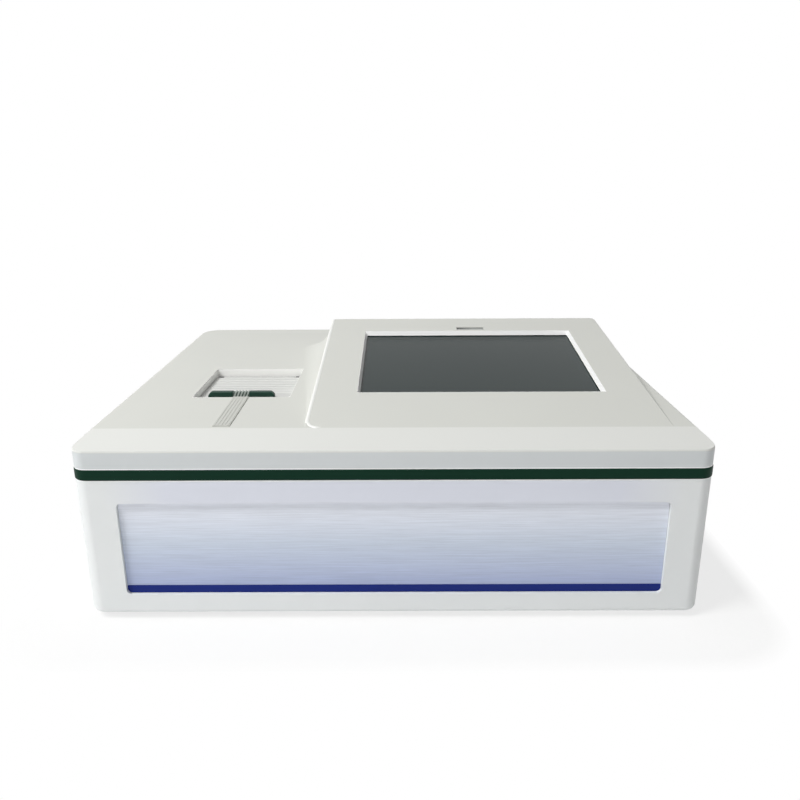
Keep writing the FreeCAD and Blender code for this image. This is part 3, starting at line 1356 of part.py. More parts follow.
def make_electronics():
    """The main board on its posts with its screws, and the caged supply."""
    top = board_low + board_thickness
    plate = box("board_plate", board_x, board_y, (board_low, top))
    left, right = board_x
    near, far = board_y
    chips = [
        box("processor", (right - 49.0, right - 25.0), (near + 66.0, near + 90.0), (top, top + 3.0)),
        box("memory", (right - 49.0, right - 29.0), (near + 104.0, near + 116.0), (top, top + 1.6)),
        box("converter", (left + 14.0, left + 26.0), (near + 116.0, near + 128.0), (top, top + 2.0)),
        box("ribbon_socket", (right - 64.0, right - 14.0), (near + 10.0, near + 17.0), (top, top + 8.0)),
        box("drive_socket", (left + 4.0, left + 10.0), (near + 56.0, near + 96.0), (top, top + 9.0)),
        rod("capacitor_one", 5.0, (right - 14.0, far - 14.0, top), 14.0),
        rod("capacitor_two", 5.0, (right - 28.0, far - 14.0, top), 14.0),
    ]
    holes = [rod(f"board_hole_{i}", small_screw_radius + dim.running_gap, (x, y, board_low - 1.0), 4.0)
             for i, (x, y) in enumerate(board_hole_places)]
    keep("main_board", cut("main_board", fuse("board_solid", plate, *chips), *holes))
    posts = []
    screws = []
    for i, (x, y) in enumerate(board_hole_places):
        post = rod(f"board_post_{i}", 3.5, (x, y, floor_top), board_low - floor_top)
        hole = rod(f"post_hole_{i}", small_screw_radius + dim.running_gap, (x, y, board_low - 6.0), 7.0)
        posts.append(cut(f"board_post_body_{i}", post, hole))
        shank = rod(f"board_shank_{i}", small_screw_radius, (x, y, board_low - 5.0), 5.0 + board_thickness)
        head = rod(f"board_head_{i}", small_head_radius, (x, y, top), small_head_height)
        screws.append(fuse(f"board_screw_{i}", shank, head))
    cage = box("supply_cage", supply_x, supply_y, (floor_top, floor_top + supply_height))
    notch = box("supply_notch", widened(supply_x, -8.0), (supply_y[1] - 16.0, supply_y[1] + 1.0),
                (floor_top + 14.0, floor_top + supply_height + 1.0))
    terminals = box("supply_terminals", widened(supply_x, -14.0), (supply_y[1] - 15.0, supply_y[1] - 3.0),
                    (floor_top + 14.0, floor_top + 26.0))
    keep("power_supply", fuse("power_supply", cut("supply_body", cage, notch), terminals))
    return posts, screws


rear_middle_z = (rear_z[0] + rear_z[1]) / 2
rear_screw_places = [(x, z) for z in widened(rear_z, -dim.rear_ledge / 2)
                     for x in (rear_x[0] + dim.rear_ledge / 2, -70.0, 70.0, rear_x[1] - dim.rear_ledge / 2)]
flange_thickness = 2.0
inlet_x = half_width - 85.0
inlet_width = 28.0
inlet_z = (rear_middle_z - 30.0, rear_middle_z + 32.0)
inlet_depth = 30.0
socket_z = rear_middle_z
socket_half = (12.0, 8.2)
socket_depth = 16.0
drawer_z = rear_middle_z - 21.0
drawer_half = (11.0, 4.0)
drawer_depth = 21.0
drawer_face = (12.3, 5.1, 1.6)
slide_gap = 0.1
rocker_z = rear_middle_z + 20.0
rocker_half = (6.2, 8.5)
rocker_tilt = 8.0
rocker_pivot_depth = 5.0
rocker_pin_radius = 1.5
rocker_well = (6.4, 9.4, 12.0)
fan_x = -half_width + 100.0
fan_z = rear_middle_z
fan_size = 60.0
fan_depth = 25.0
fan_bore = 28.0
fan_hole_offset = 25.0
serial_x = inlet_x - 73.0
network_x = serial_x - 40.0
usb_x = network_x - 30.0
port_z = rear_middle_z - 4.0
port_gap = 0.25


def make_rear_panel():
    """The steel sheet at the back with its cut-outs, and the screws that hold it."""
    panel = new_body("rear_panel")
    outline = sketch_on(panel, "rear_outline", "XZ_Plane", -rear_face)
    draw_rounded(outline, widened(rear_x, -dim.fit_gap), widened(rear_z, -dim.fit_gap),
                 [dim.panel_corner - dim.fit_gap] * 4)
    pad(panel, outline, dim.rear_sheet)
    openings = sketch_on(panel, "rear_openings", "XZ_Plane", -rear_seat)
    for x, z in rear_screw_places + fan_hole_places:
        draw_circle(openings, x, z, small_screw_radius + dim.running_gap)
    draw_circle(openings, fan_x, fan_z, fan_bore - 0.5)
    draw_rectangle(openings, (inlet_x - inlet_width / 2 - port_gap, inlet_x + inlet_width / 2 + port_gap),
                   widened(inlet_z, port_gap))
    for x, (half_x, half_z) in port_bodies:
        draw_rectangle(openings, (x - half_x - port_gap, x + half_x + port_gap),
                       (port_z - half_z - port_gap, port_z + half_z + port_gap))
    pocket(panel, openings, dim.rear_sheet)
    keep("rear_panel", panel)
    screws = []
    for i, (x, z) in enumerate(rear_screw_places):
        shank = rod(f"rear_shank_{i}", small_screw_radius, (x, rear_seat - dim.wall, z),
                    dim.wall + dim.rear_sheet, "y")
        head = rod(f"rear_head_{i}", small_head_radius, (x, rear_face, z), small_head_height, "y")
        screws.append(fuse(f"rear_screw_{i}", shank, head))
    for i, (x, z) in enumerate(fan_hole_places):
        shank = rod(f"fan_shank_{i}", small_screw_radius, (x, rear_seat - 8.0, z),
                    8.0 + dim.rear_sheet + guard_thickness, "y")
        head = rod(f"fan_head_{i}", small_head_radius, (x, rear_face + guard_thickness, z), 1.4, "y")
        screws.append(fuse(f"fan_screw_{i}", shank, head))
    keep("rear_screws", gather("rear_screws", screws))


guard_thickness = 1.5
port_bodies = [(usb_x, (6.0, 5.5)), (network_x, (8.0, 6.8)), (serial_x, (8.6, 4.3))]
fan_hole_places = [(fan_x + side * fan_hole_offset, fan_z + end * fan_hole_offset)
                   for side in (-1, 1) for end in (-1, 1)]


def make_power_entry():
    """The mains entry: flanged housing with its three blades, the fuse drawer and the rocker."""
    flange = new_body("inlet_flange")
    outline = sketch_on(flange, "flange_outline", "XZ_Plane", -(rear_face + flange_thickness))
    draw_rounded(outline, around(inlet_x, inlet_width / 2 + 11.0), widened(inlet_z, 3.0), [5.0] * 4)
    pad(flange, outline, flange_thickness)
    housing = box("inlet_housing", around(inlet_x, inlet_width / 2),
                  (rear_face - inlet_depth, rear_face + 0.5), inlet_z)
    mouth = rear_face + flange_thickness + 1.0
    socket_floor = rear_face + flange_thickness - socket_depth
    socket = new_body("inlet_socket")
    shape = sketch_on(socket, "socket_outline", "XZ_Plane", -mouth)
    wide, tall = socket_half
    bevel = 4.0
    draw_polygon(shape, [
        (inlet_x - wide, socket_z - tall), (inlet_x + wide, socket_z - tall),
        (inlet_x + wide, socket_z + tall - bevel), (inlet_x + wide - bevel, socket_z + tall),
        (inlet_x - wide + bevel, socket_z + tall), (inlet_x - wide, socket_z + tall - bevel)])
    pad(socket, shape, mouth - socket_floor)
    tunnel = box("drawer_tunnel", around(inlet_x, drawer_half[0] + slide_gap),
                 (rear_face - drawer_depth - 1.0, mouth), around(drawer_z, drawer_half[1] + slide_gap))
    seat = box("drawer_seat", around(inlet_x, drawer_face[0] + slide_gap), (rear_face + 0.2, mouth),
               around(drawer_z, drawer_face[1] + slide_gap))
    well = box("rocker_space", around(inlet_x, rocker_well[0]),
               (rear_face + flange_thickness - rocker_well[2], mouth), around(rocker_z, rocker_well[1]))
    pivot_y = rear_face + flange_thickness - rocker_pivot_depth
    eyes = rod("rocker_eyes", rocker_pin_radius + dim.running_gap,
               (inlet_x - rocker_well[0] - 2.0, pivot_y, rocker_z), 2 * rocker_well[0] + 4.0, "x")
    solid = fuse("inlet_solid", flange, housing)
    keep("power_inlet", cut("power_inlet", solid, socket, tunnel, seat, well, eyes))
    blade_y = (socket_floor, socket_floor + socket_depth - 2.5)
    blades = [box(f"blade_{i}", around(inlet_x + x, 1.0), blade_y, around(socket_z + z, 2.0))
              for i, (x, z) in enumerate(((-7.0, -2.0), (0.0, 2.0), (7.0, -2.0)))]
    keep("inlet_pins", gather("inlet_pins", blades))

    tray = box("drawer_tray", around(inlet_x, drawer_half[0]), (rear_face - drawer_depth, rear_face + 0.3),
               around(drawer_z, drawer_half[1]))
    face_y = rear_face + 0.3
    face = box("drawer_front", around(inlet_x, drawer_face[0]), (face_y, face_y + drawer_face[2]),
               around(drawer_z, drawer_face[1]))
    nail = box("drawer_nail_slot", around(inlet_x, 4.0), (face_y + 0.8, face_y + 3.0),
               (drawer_z + drawer_face[1] - 2.0, drawer_z + drawer_face[1] + 1.0))
    fuse_y = rear_face - 9.0
    pocket_box = box("fuse_pocket", around(inlet_x, 10.2), around(fuse_y, 2.7),
                     (drawer_z - 2.7, drawer_z + 6.0))
    keep("fuse_drawer", cut("fuse_drawer", fuse("drawer_solid", tray, face), nail, pocket_box))
    keep("mains_fuse", rod("mains_fuse", 2.5, (inlet_x - 10.0, fuse_y, drawer_z - 0.1), 20.0, "x"))

    rocker = new_body("power_rocker")
    profile = sketch_on(rocker, "rocker_profile", "YZ_Plane", -rocker_half[0])
    end = rocker_half[1]
    draw_polygon(profile, [
        (-3.4, -2.0), (-1.0, -5.5), (1.4, -end), (4.6, -end), (3.3, 0.0), (4.6, end), (1.4, end), (-1.0, 5.5),
        (-3.4, 2.0)])
    pad(rocker, profile, 2 * rocker_half[0])
    pins = sketch_on(rocker, "rocker_pins", "YZ_Plane", -(rocker_well[0] + 1.8))
    draw_circle(pins, 0.0, 0.0, rocker_pin_radius)
    pad(rocker, pins, 2 * (rocker_well[0] + 1.8))
    place(rocker, inlet_x, pivot_y, rocker_z, FreeCAD.Rotation(X_AXIS, rocker_tilt))
    keep("power_rocker", rocker)


def make_fan():
    """The cooling fan: frame with its motor arms, the bladed rotor, and the stamped guard."""
    fan_y = (rear_seat - fan_depth, rear_seat)
    frame = new_body("fan_shell")
    outline = sketch_on(frame, "fan_outline", "XZ_Plane", -fan_y[1])
    draw_rounded(outline, around(fan_x, fan_size / 2), around(fan_z, fan_size / 2), [4.0] * 4)
    pad(frame, outline, fan_depth)
    duct = sketch_on(frame, "fan_duct", "XZ_Plane", -fan_y[0])
    draw_circle(duct, fan_x, fan_z, fan_bore)
    for x, z in fan_hole_places:
        draw_circle(duct, x, z, small_screw_radius + dim.running_gap)
    pocket(frame, duct, fan_depth)
    core = rod("fan_core", 11.0, (fan_x, fan_y[0], fan_z), fan_arm_depth, "y")
    spindle = rod("fan_spindle", shaft_radius, (fan_x, fan_y[0], fan_z), fan_depth - 4.0, "y")
    arm_y = (fan_y[0], fan_y[0] + fan_arm_depth)
    arms = [box("fan_arm_level", around(fan_x, fan_bore + 1.0), arm_y, around(fan_z, 1.6)),
            box("fan_arm_upright", around(fan_x, 1.6), arm_y, around(fan_z, fan_bore + 1.0))]
    keep("fan_frame", fuse("fan_frame", frame, core, spindle, *arms))

    rotor = new_body("fan_rotor")
    hub_length = fan_depth - fan_arm_depth - 3.0
    hub = sketch_on(rotor, "rotor_hub", "XZ_Plane")
    draw_circle(hub, 0.0, 0.0, rotor_hub_radius)
    pad(rotor, hub, hub_length).Reversed = True
    root_plane = sketch_on(rotor, "blade_root", "YZ_Plane", rotor_hub_radius - 1.0)
    draw_blade(root_plane, hub_length / 2, 13.0, 44.0)
    tip_plane = sketch_on(rotor, "blade_tip", "YZ_Plane", fan_bore - blade_tip_inset)
    draw_blade(tip_plane, hub_length / 2, 17.0, 58.0)
    blade = rotor.newObject("PartDesign::AdditiveLoft", "fan_blade")
    blade.Profile = root_plane
    blade.Sections = [tip_plane]
    blade.Ruled = True
    ring = rotor.newObject("PartDesign::PolarPattern", "fan_blades")
    ring.Originals = [blade]
    ring.Axis = (hub, ["N_Axis"])
    ring.Angle = 360
    ring.Occurrences = 7
    rotor.Tip = ring
    bore = sketch_on(rotor, "rotor_bore", "XZ_Plane")
    draw_circle(bore, 0.0, 0.0, shaft_radius + dim.running_gap)
    pocket(rotor, bore, fan_depth)
    place(rotor, fan_x, fan_y[0] + fan_arm_depth + dim.seat_gap, fan_z)
    keep("fan_rotor", rotor)

    guard = new_body("fan_guard")
    plate = sketch_on(guard, "guard_plate", "XZ_Plane", -(rear_face + guard_thickness))
    draw_rounded(plate, around(fan_x, fan_size / 2), around(fan_z, fan_size / 2), [6.0] * 4)
    pad(guard, plate, guard_thickness)
    for i, inner in enumerate((8.0, 14.5, 21.0)):
        gap = sketch_on(guard, f"guard_gap_{i}", "XZ_Plane", -rear_face)
        draw_circle(gap, fan_x, fan_z, inner)
        draw_circle(gap, fan_x, fan_z, inner + 4.5)
        pocket(guard, gap, guard_thickness)
    spokes = sketch_on(guard, "guard_spokes", "XZ_Plane", -(rear_face + guard_thickness))
    draw_rectangle(spokes, around(fan_x, fan_bore - 1.0), around(fan_z, 1.2))
    pad(guard, spokes, guard_thickness)
    uprights = sketch_on(guard, "guard_uprights", "XZ_Plane", -(rear_face + guard_thickness))
    draw_rectangle(uprights, around(fan_x, 1.2), around(fan_z, fan_bore - 1.0))
    pad(guard, uprights, guard_thickness)
    holes = sketch_on(guard, "guard_holes", "XZ_Plane", -rear_face)
    for x, z in fan_hole_places:
        draw_circle(holes, x, z, small_screw_radius + dim.running_gap)
    pocket(guard, holes, guard_thickness)
    keep("fan_guard", guard)


def draw_blade(sketch, middle, chord, pitch):
    """A thin blade section, pitched out of the rotor's plane by an angle from its axis."""
    along = (math.cos(math.radians(pitch)) * chord / 2, math.sin(math.radians(pitch)) * chord / 2)
    thick = (math.sin(math.radians(pitch)) * 0.7, -math.cos(math.radians(pitch)) * 0.7)
    draw_polygon(sketch, [
        (middle - along[0] - thick[0], -along[1] - thick[1]),
        (middle + along[0] - thick[0], along[1] - thick[1]),
        (middle + along[0] + thick[0], along[1] + thick[1]),
        (middle - along[0] + thick[0], -along[1] + thick[1])])


fan_arm_depth = 3.0
rotor_hub_radius = 12.5
blade_tip_inset = 2.2


def make_ports():
    """The data sockets that look out of the rear sheet."""
    face = rear_face + 0.6
    flange_y = (rear_seat - 1.0, rear_seat)
    half_x, half_z = port_bodies[0][1]
    shell = box("usb_shell", around(usb_x, half_x), (face - 16.0, face), around(port_z, half_z))
    lip = box("usb_lip", around(usb_x, half_x + 1.5), flange_y, around(port_z, half_z + 1.0))
    mouth = box("usb_mouth", around(usb_x, 4.25), (face - 9.0, face + 1.0), around(port_z, 3.9))
    tongue = box("usb_tongue", around(usb_x, 2.8), (face - 9.5, face - 1.0), around(port_z, 1.6))
    keep("usb_port", fuse("usb_port", cut("usb_case", fuse("usb_solid", shell, lip), mouth), tongue))
    half_x, half_z = port_bodies[1][1]
    shell = box("network_shell", around(network_x, half_x), (face - 18.0, face), around(port_z, half_z))
    lip = box("network_lip", around(network_x, half_x + 1.5), flange_y, around(port_z, half_z + 1.0))
    mouth = box("network_mouth", around(network_x, 5.9), (face - 13.0, face + 1.0), around(port_z + 0.6, 4.0))
    latch = box("network_latch", around(network_x, 3.0), (face - 13.0, face + 1.0),
                (port_z - 5.6, port_z))
    keep("network_port", cut("network_port", fuse("network_solid", shell, lip), mouth, latch))
    half_x, half_z = port_bodies[2][1]
    collar = new_body("serial_collar")
    outline = sketch_on(collar, "serial_outline", "XZ_Plane", -(rear_face + 2.4))
    slant = 1.4
    draw_polygon(outline, [
        (serial_x - half_x + slant, port_z - half_z), (serial_x + half_x - slant, port_z - half_z),
        (serial_x + half_x, port_z + half_z), (serial_x - half_x, port_z + half_z)])
    pad(collar, outline, 2.4 + dim.rear_sheet + 0.5)
    plate = box("serial_plate", around(serial_x, 15.4), flange_y, around(port_z, 6.2))
    rear_block = box("serial_block", around(serial_x, 9.5), (flange_y[0] - 9.0, flange_y[0]),
                     around(port_z, 5.6))
    keep("serial_port", fuse("serial_port", collar, plate, rear_block))


def make_feet():
    """The four rubber feet with their screws, and the long-reach screws that close the case."""
    feet = []
    screws = []
    for i, (x, y) in enumerate(foot_places):
        block = taper(f"foot_block_{i}", (dim.foot_radius - 1.5, dim.foot_radius), (x, y, 0.0),
                      dim.foot_height)
        recess = rod(f"foot_recess_{i}", 4.2, (x, y, -1.0), foot_recess + 1.0)
        hole = rod(f"foot_bore_{i}", foot_screw_radius + dim.running_gap, (x, y, -1.0), dim.foot_height + 2.0)
        feet.append(cut(f"foot_{i}", block, recess, hole))
        head = rod(f"foot_head_{i}", 3.6, (x, y, foot_recess - 1.8), 1.8)
        shank = rod(f"foot_shank_{i}", foot_screw_radius, (x, y, foot_recess),
                    dim.foot_height - foot_recess + dim.wall + foot_boss_height - 1.0)
        screws.append(fuse(f"foot_screw_{i}", head, shank))
    keep("feet", gather("feet", feet))
    keep("foot_screws", gather("foot_screws", screws))
    closing = []
    for i, (x, y) in enumerate(case_screw_places):
        seat = lower_top - screw_seat_depth
        head = rod(f"case_head_{i}", screw_head_radius, (x, y, seat - 3.0), 3.0)
        shank = rod(f"case_shank_{i}", screw_radius, (x, y, seat), screw_seat_depth + screw_grip)
        closing.append(fuse(f"case_screw_{i}", head, shank))
    keep("case_screws", gather("case_screws", closing))


foot_recess = 2.8

make_lower_shell()
make_front_panel()
make_trim_band()
make_upper_cover()
display_screws = make_screen()
make_sample_chamber()
make_cuvette_holder()
make_sample_lid()
bench_pillars, bench_screws = make_bench()
make_lamp_unit()
make_chopper()
make_monochromator()
make_turret()
make_drive_gear()
make_drive_pinion()
make_detector()
board_posts, board_screws = make_electronics()
keep("standoffs", gather("standoffs", bench_pillars + board_posts))
keep("inner_screws", gather("inner_screws", display_screws + bench_screws + board_screws))
make_rear_panel()
make_power_entry()
make_fan()
make_ports()
make_feet()

doc.recompute()
for thing in doc.Objects:
    if "Invalid" in thing.State or "Error" in thing.State:
        raise RuntimeError(f"{thing.Name} did not compute: {thing.State}")
for thing in nodes:
    if thing.Shape.isNull() or not thing.Shape.isValid():
        raise RuntimeError(f"{thing.Label} has no valid shape")

os.makedirs("parts", exist_ok=True)
for thing in nodes:
    thing.Shape.exportStep(f"parts/{thing.Label}.step")
print(len(nodes), "nodes written")
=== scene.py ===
import json
import math

import bmesh
import bpy
from mathutils import Matrix, Vector


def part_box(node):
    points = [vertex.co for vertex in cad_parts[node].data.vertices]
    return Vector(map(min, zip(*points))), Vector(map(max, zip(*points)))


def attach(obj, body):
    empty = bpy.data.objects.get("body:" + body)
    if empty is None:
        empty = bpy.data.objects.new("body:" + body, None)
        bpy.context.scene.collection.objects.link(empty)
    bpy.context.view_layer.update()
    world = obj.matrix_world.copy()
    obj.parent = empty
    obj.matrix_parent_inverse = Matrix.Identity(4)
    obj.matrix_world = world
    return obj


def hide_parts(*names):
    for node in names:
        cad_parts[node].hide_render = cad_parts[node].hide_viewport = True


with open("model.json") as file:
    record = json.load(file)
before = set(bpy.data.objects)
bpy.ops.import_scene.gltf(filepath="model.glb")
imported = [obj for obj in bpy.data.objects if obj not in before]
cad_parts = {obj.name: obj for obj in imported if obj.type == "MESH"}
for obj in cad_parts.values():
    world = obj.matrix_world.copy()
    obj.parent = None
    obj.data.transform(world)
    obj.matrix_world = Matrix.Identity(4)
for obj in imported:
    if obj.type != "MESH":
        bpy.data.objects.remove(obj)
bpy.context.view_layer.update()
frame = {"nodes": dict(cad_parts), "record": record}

cadNodes = frame["nodes"]
bodies = frame["record"]["behaviour"]["bodies"]
bodyOf = {node: body for body, group in bodies.items() for node in group}
slotOf = {part["node"]: part["material_slot"] for part in frame["record"]["subparts"]}
mm = 0.001
farOff = 1.0    # metres, past every side of the case

print("stage: camera and light")

cameraSpot = {
    "place": (8.0 * mm, -747.3 * mm, 357.35 * mm),
    "pitch": 17.53,     # degrees below the horizon
    "yaw": -0.24,
    "roll": 0.29,
    "lens": 33.75,
    "sensor": 36.0,     # mm
}


def makeCamera():
    data = bpy.data.cameras.new("viewCamera")
    data.lens = cameraSpot["lens"]
    data.sensor_width = cameraSpot["sensor"]
    data.clip_start = 0.01
    data.clip_end = 50.0
    camera = bpy.data.objects.new("viewCamera", data)
    bpy.context.scene.collection.objects.link(camera)
    pitch, yaw, roll = [math.radians(cameraSpot[key]) for key in ("pitch", "yaw", "roll")]
    ahead = Vector((math.sin(yaw) * math.cos(pitch), math.cos(yaw) * math.cos(pitch),
                    -math.sin(pitch)))
    level = Vector((math.cos(yaw), -math.sin(yaw), 0))
    below = ahead.cross(level)
    right = level * math.cos(roll) + below * math.sin(roll)
    up = level * math.sin(roll) - below * math.cos(roll)
    turn = Matrix((right, up, -ahead)).transposed().to_4x4()
    camera.matrix_world = Matrix.Translation(cameraSpot["place"]) @ turn
    bpy.context.scene.camera = camera


makeCamera()


# sRGB hex to the linear colour that the shaders take
def hexColour(text):
    parts = [int(text[i:i + 2], 16) / 255 for i in (1, 3, 5)]
    linear = [p / 12.92 if p <= 0.04045 else ((p + 0.055) / 1.055) ** 2.4 for p in parts]
    return (*linear, 1.0)


# adds a node with its settings, and joins or sets its inputs
def addNode(tree, kind, inputs=None, **settings):
    node = tree.nodes.new(kind)
    for key, value in settings.items():
        setattr(node, key, value)
    for key, value in (inputs or {}).items():
        if isinstance(value, bpy.types.NodeSocket):
            tree.links.new(value, node.inputs[key])
        else:
            node.inputs[key].default_value = value
    return node


lightRig = {
    "worldLeft": 0.34,       # soft light of a white room, stronger from its left
    "worldRight": 0.22,
    "aim": (0, 0, 0.08),
    "key": {"place": (-1.42, -0.85, 2.05), "size": 0.9, "watts": 53.0},
    "front": {"place": (0.1, -2.4, 1.1), "size": 1.6, "watts": 6.0},
    "rear": {"place": (-0.2, 2.4, 0.35), "size": 1.2, "watts": 15.0},
}


def makeLight(name, place, size, watts):
    data = bpy.data.lights.new(name + "Light", "AREA")
    data.shape = "DISK"
    data.size = size
    data.energy = watts
    lamp = bpy.data.objects.new(name + "Light", data)
    bpy.context.scene.collection.objects.link(lamp)
    lamp.visible_glossy = name != "rear"     # no glare of it on the screen
    lamp.location = place
    ahead = Vector(lightRig["aim"]) - Vector(place)
    lamp.rotation_euler = ahead.to_track_quat("-Z", "Y").to_euler()


for lampName in ("key", "front", "rear"):
    makeLight(lampName, **lightRig[lampName])


def larger(tree, first, second):
    return addNode(tree, "ShaderNodeMath", {0: first, 1: second}, operation="MAXIMUM").outputs[0]


def product(tree, first, second):
    return addNode(tree, "ShaderNodeMath", {0: first, 1: second}, operation="MULTIPLY").outputs[0]


# a white room whose own brightness lights the case, and which the camera sees as white
def makeWorld():
    world = bpy.data.worlds.new("whiteRoom")
    bpy.context.scene.world = world
    world.use_nodes = True
    tree = world.node_tree
    tree.nodes.clear()
    path = addNode(tree, "ShaderNodeLightPath").outputs
    seen = larger(tree, path["Is Camera Ray"], path["Is Glossy Ray"])
    seenToo = larger(tree, seen, path["Is Transmission Ray"])
    way = addNode(tree, "ShaderNodeTexCoord")
    parts = addNode(tree, "ShaderNodeSeparateXYZ", {"Vector": way.outputs["Generated"]})
    level = addNode(tree, "ShaderNodeMapRange",
                    {"Value": parts.outputs["X"], "From Min": -1.0, "From Max": 1.0,
                     "To Min": lightRig["worldLeft"], "To Max": lightRig["worldRight"]})
    soft = addNode(tree, "ShaderNodeBackground",
                   {"Color": (1, 1, 1, 1), "Strength": level.outputs[0]})
    white = addNode(tree, "ShaderNodeBackground", {"Color": (1, 1, 1, 1), "Strength": 1.0})
    both = addNode(tree, "ShaderNodeMixShader",
                   {0: seenToo, 1: soft.outputs[0], 2: white.outputs[0]})
    addNode(tree, "ShaderNodeOutputWorld", {"Surface": both.outputs[0]})


makeWorld()

floorLook = {
    "radius": 6.0,
    "level": -0.2 * mm,
    "tone": "#ECECEB",
    "shadeReach": 0.07,      # metres from the case's outline over which its shade fades
    "whiteness": 0.75,       # the least share of white, right beside the case
}


# a pale bench top that runs out to white, and keeps a faint shade beside the case
def makeFloor():
    bm = bmesh.new()
    bmesh.ops.create_circle(bm, cap_ends=True, segments=64, radius=floorLook["radius"],
                            matrix=Matrix.Translation((0, 0, floorLook["level"])))
    mesh = bpy.data.meshes.new("benchTop")
    bm.to_mesh(mesh)
    bm.free()
    floor = bpy.data.objects.new("benchTop", mesh)
    bpy.context.scene.collection.objects.link(floor)
    mat = bpy.data.materials.new("whiteBenchLaminate")
    mat.use_nodes = True
    tree = mat.node_tree
    tree.nodes.clear()
    spot = addNode(tree, "ShaderNodeTexCoord").outputs["Object"]
    low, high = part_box("lower_shell")
    middle = [(low[i] + high[i]) / 2 for i in range(2)] + [0.0]
    half = [(high[i] - low[i]) / 2 for i in range(2)] + [farOff]
    steps = (("SUBTRACT", middle), ("ABSOLUTE", None), ("SUBTRACT", half), ("MAXIMUM", (0, 0, 0)))
    for operation, other in steps:
        inputs = {0: spot} if other is None else {0: spot, 1: other}
        spot = addNode(tree, "ShaderNodeVectorMath", inputs, operation=operation).outputs[0]
    away = addNode(tree, "ShaderNodeVectorMath", {0: spot}, operation="LENGTH")
    far = addNode(tree, "ShaderNodeMapRange", {"Value": away.outputs["Value"], "From Min": 0.0,
                                               "From Max": floorLook["shadeReach"]})
    path = addNode(tree, "ShaderNodeLightPath").outputs
    seen = larger(tree, path["Is Camera Ray"], path["Is Glossy Ray"])
    pale = larger(tree, far.outputs[0], floorLook["whiteness"])
    top = addNode(tree, "ShaderNodeBsdfDiffuse", {"Color": hexColour(floorLook["tone"])})
    glow = addNode(tree, "ShaderNodeEmission", {"Color": (1, 1, 1, 1), "Strength": 1.0})
    both = addNode(tree, "ShaderNodeMixShader",
                   {0: product(tree, pale, seen), 1: top.outputs[0], 2: glow.outputs[0]})
    addNode(tree, "ShaderNodeOutputMaterial", {"Surface": both.outputs[0]})
    mesh.materials.append(mat)


makeFloor()

print("stage: materials")


# a Principled material; whatever is the same all over is set on its own sockets
def newMaterial(name, **values):
    mat = bpy.data.materials.new(name)
    mat.use_nodes = True
    shader = mat.node_tree.nodes["Principled BSDF"]
    for key, value in values.items():
        shader.inputs[key.replace("_", " ")].default_value = value
    return mat, mat.node_tree, shader


def objectSpot(tree, scale=(1, 1, 1)):
    place = addNode(tree, "ShaderNodeTexCoord")
    return addNode(tree, "ShaderNodeMapping",
                   {"Vector": place.outputs["Object"], "Scale": scale}).outputs[0]


# noise on the object's own coordinates, with its size in mm
def noise(tree, spot, size, **more):
    return addNode(tree, "ShaderNodeTexNoise",
                   {"Vector": spot, "Scale": 1 / (size * mm), **more}).outputs["Fac"]


def mixTones(tree, share, first, second, **settings):
    return addNode(tree, "ShaderNodeMix", {0: share, 6: first, 7: second}, data_type="RGBA",
                   **settings).outputs[2]


# lets the roughness wander a little about its middle
def varyRoughness(tree, shader, share, middle, spread):
    rough = addNode(tree, "ShaderNodeMapRange",
                    {"Value": share, "To Min": middle - spread, "To Max": middle + spread})
    tree.links.new(rough.outputs[0], shader.inputs["Roughness"])


mouldedLook = {
    "grainSize": 0.55,      # mm, spark-eroded texture of the mould
    "grainDepth": 0.010,    # mm
    "grainShare": 0.35,
    "cloudSize": 90.0,      # mm, faint unevenness of tone
    "roughSpread": 0.06,
}


# injection-moulded ABS: satin, with the fine even pitting that a spark-eroded mould leaves
def mouldedPlastic(name, tone, darker, roughness, gloss=0.5):
    mat, tree, shader = newMaterial(name, IOR=1.53, Metallic=0.0, Specular_IOR_Level=gloss)
    spot = objectSpot(tree)
    grain = noise(tree, spot, mouldedLook["grainSize"], Detail=2.0)
    cloud = noise(tree, spot, mouldedLook["cloudSize"], Detail=3.0)
    mixed = mixTones(tree, cloud, hexColour(tone), hexColour(darker))
    tree.links.new(mixed, shader.inputs["Base Color"])
    varyRoughness(tree, shader, grain, roughness, mouldedLook["roughSpread"])
    bump = addNode(tree, "ShaderNodeBump", {"Height": grain, "Strength": mouldedLook["grainShare"],
                                            "Distance": mouldedLook["grainDepth"] * mm})
    tree.links.new(bump.outputs[0], shader.inputs["Normal"])
    return mat


# one where a value lies between two limits, with soft ends
def between(tree, value, low, high, soft):
    rise = addNode(tree, "ShaderNodeMapRange",
                   {"Value": value, "From Min": low - soft, "From Max": low + soft})
    fall = addNode(tree, "ShaderNodeMapRange",
                   {"Value": value, "From Min": high - soft, "From Max": high + soft,
                    "To Min": 1.0, "To Max": 0.0})
    return product(tree, rise.outputs[0], fall.outputs[0])


def axesOf(tree):
    place = addNode(tree, "ShaderNodeTexCoord")
    parts = addNode(tree, "ShaderNodeSeparateXYZ", {"Vector": place.outputs["Object"]})
    return parts.outputs["X"], parts.outputs["Y"], parts.outputs["Z"]


# lays other tones over a moulded plastic where their masks are one
def toneZones(mat, zones):
    tree = mat.node_tree
    shader = tree.nodes["Principled BSDF"]
    tone = shader.inputs["Base Color"].links[0].from_socket
    for mask, colour in zones:
        tone = mixTones(tree, mask, tone, hexColour(colour))
    tree.links.new(tone, shader.inputs["Base Color"])
    return mat


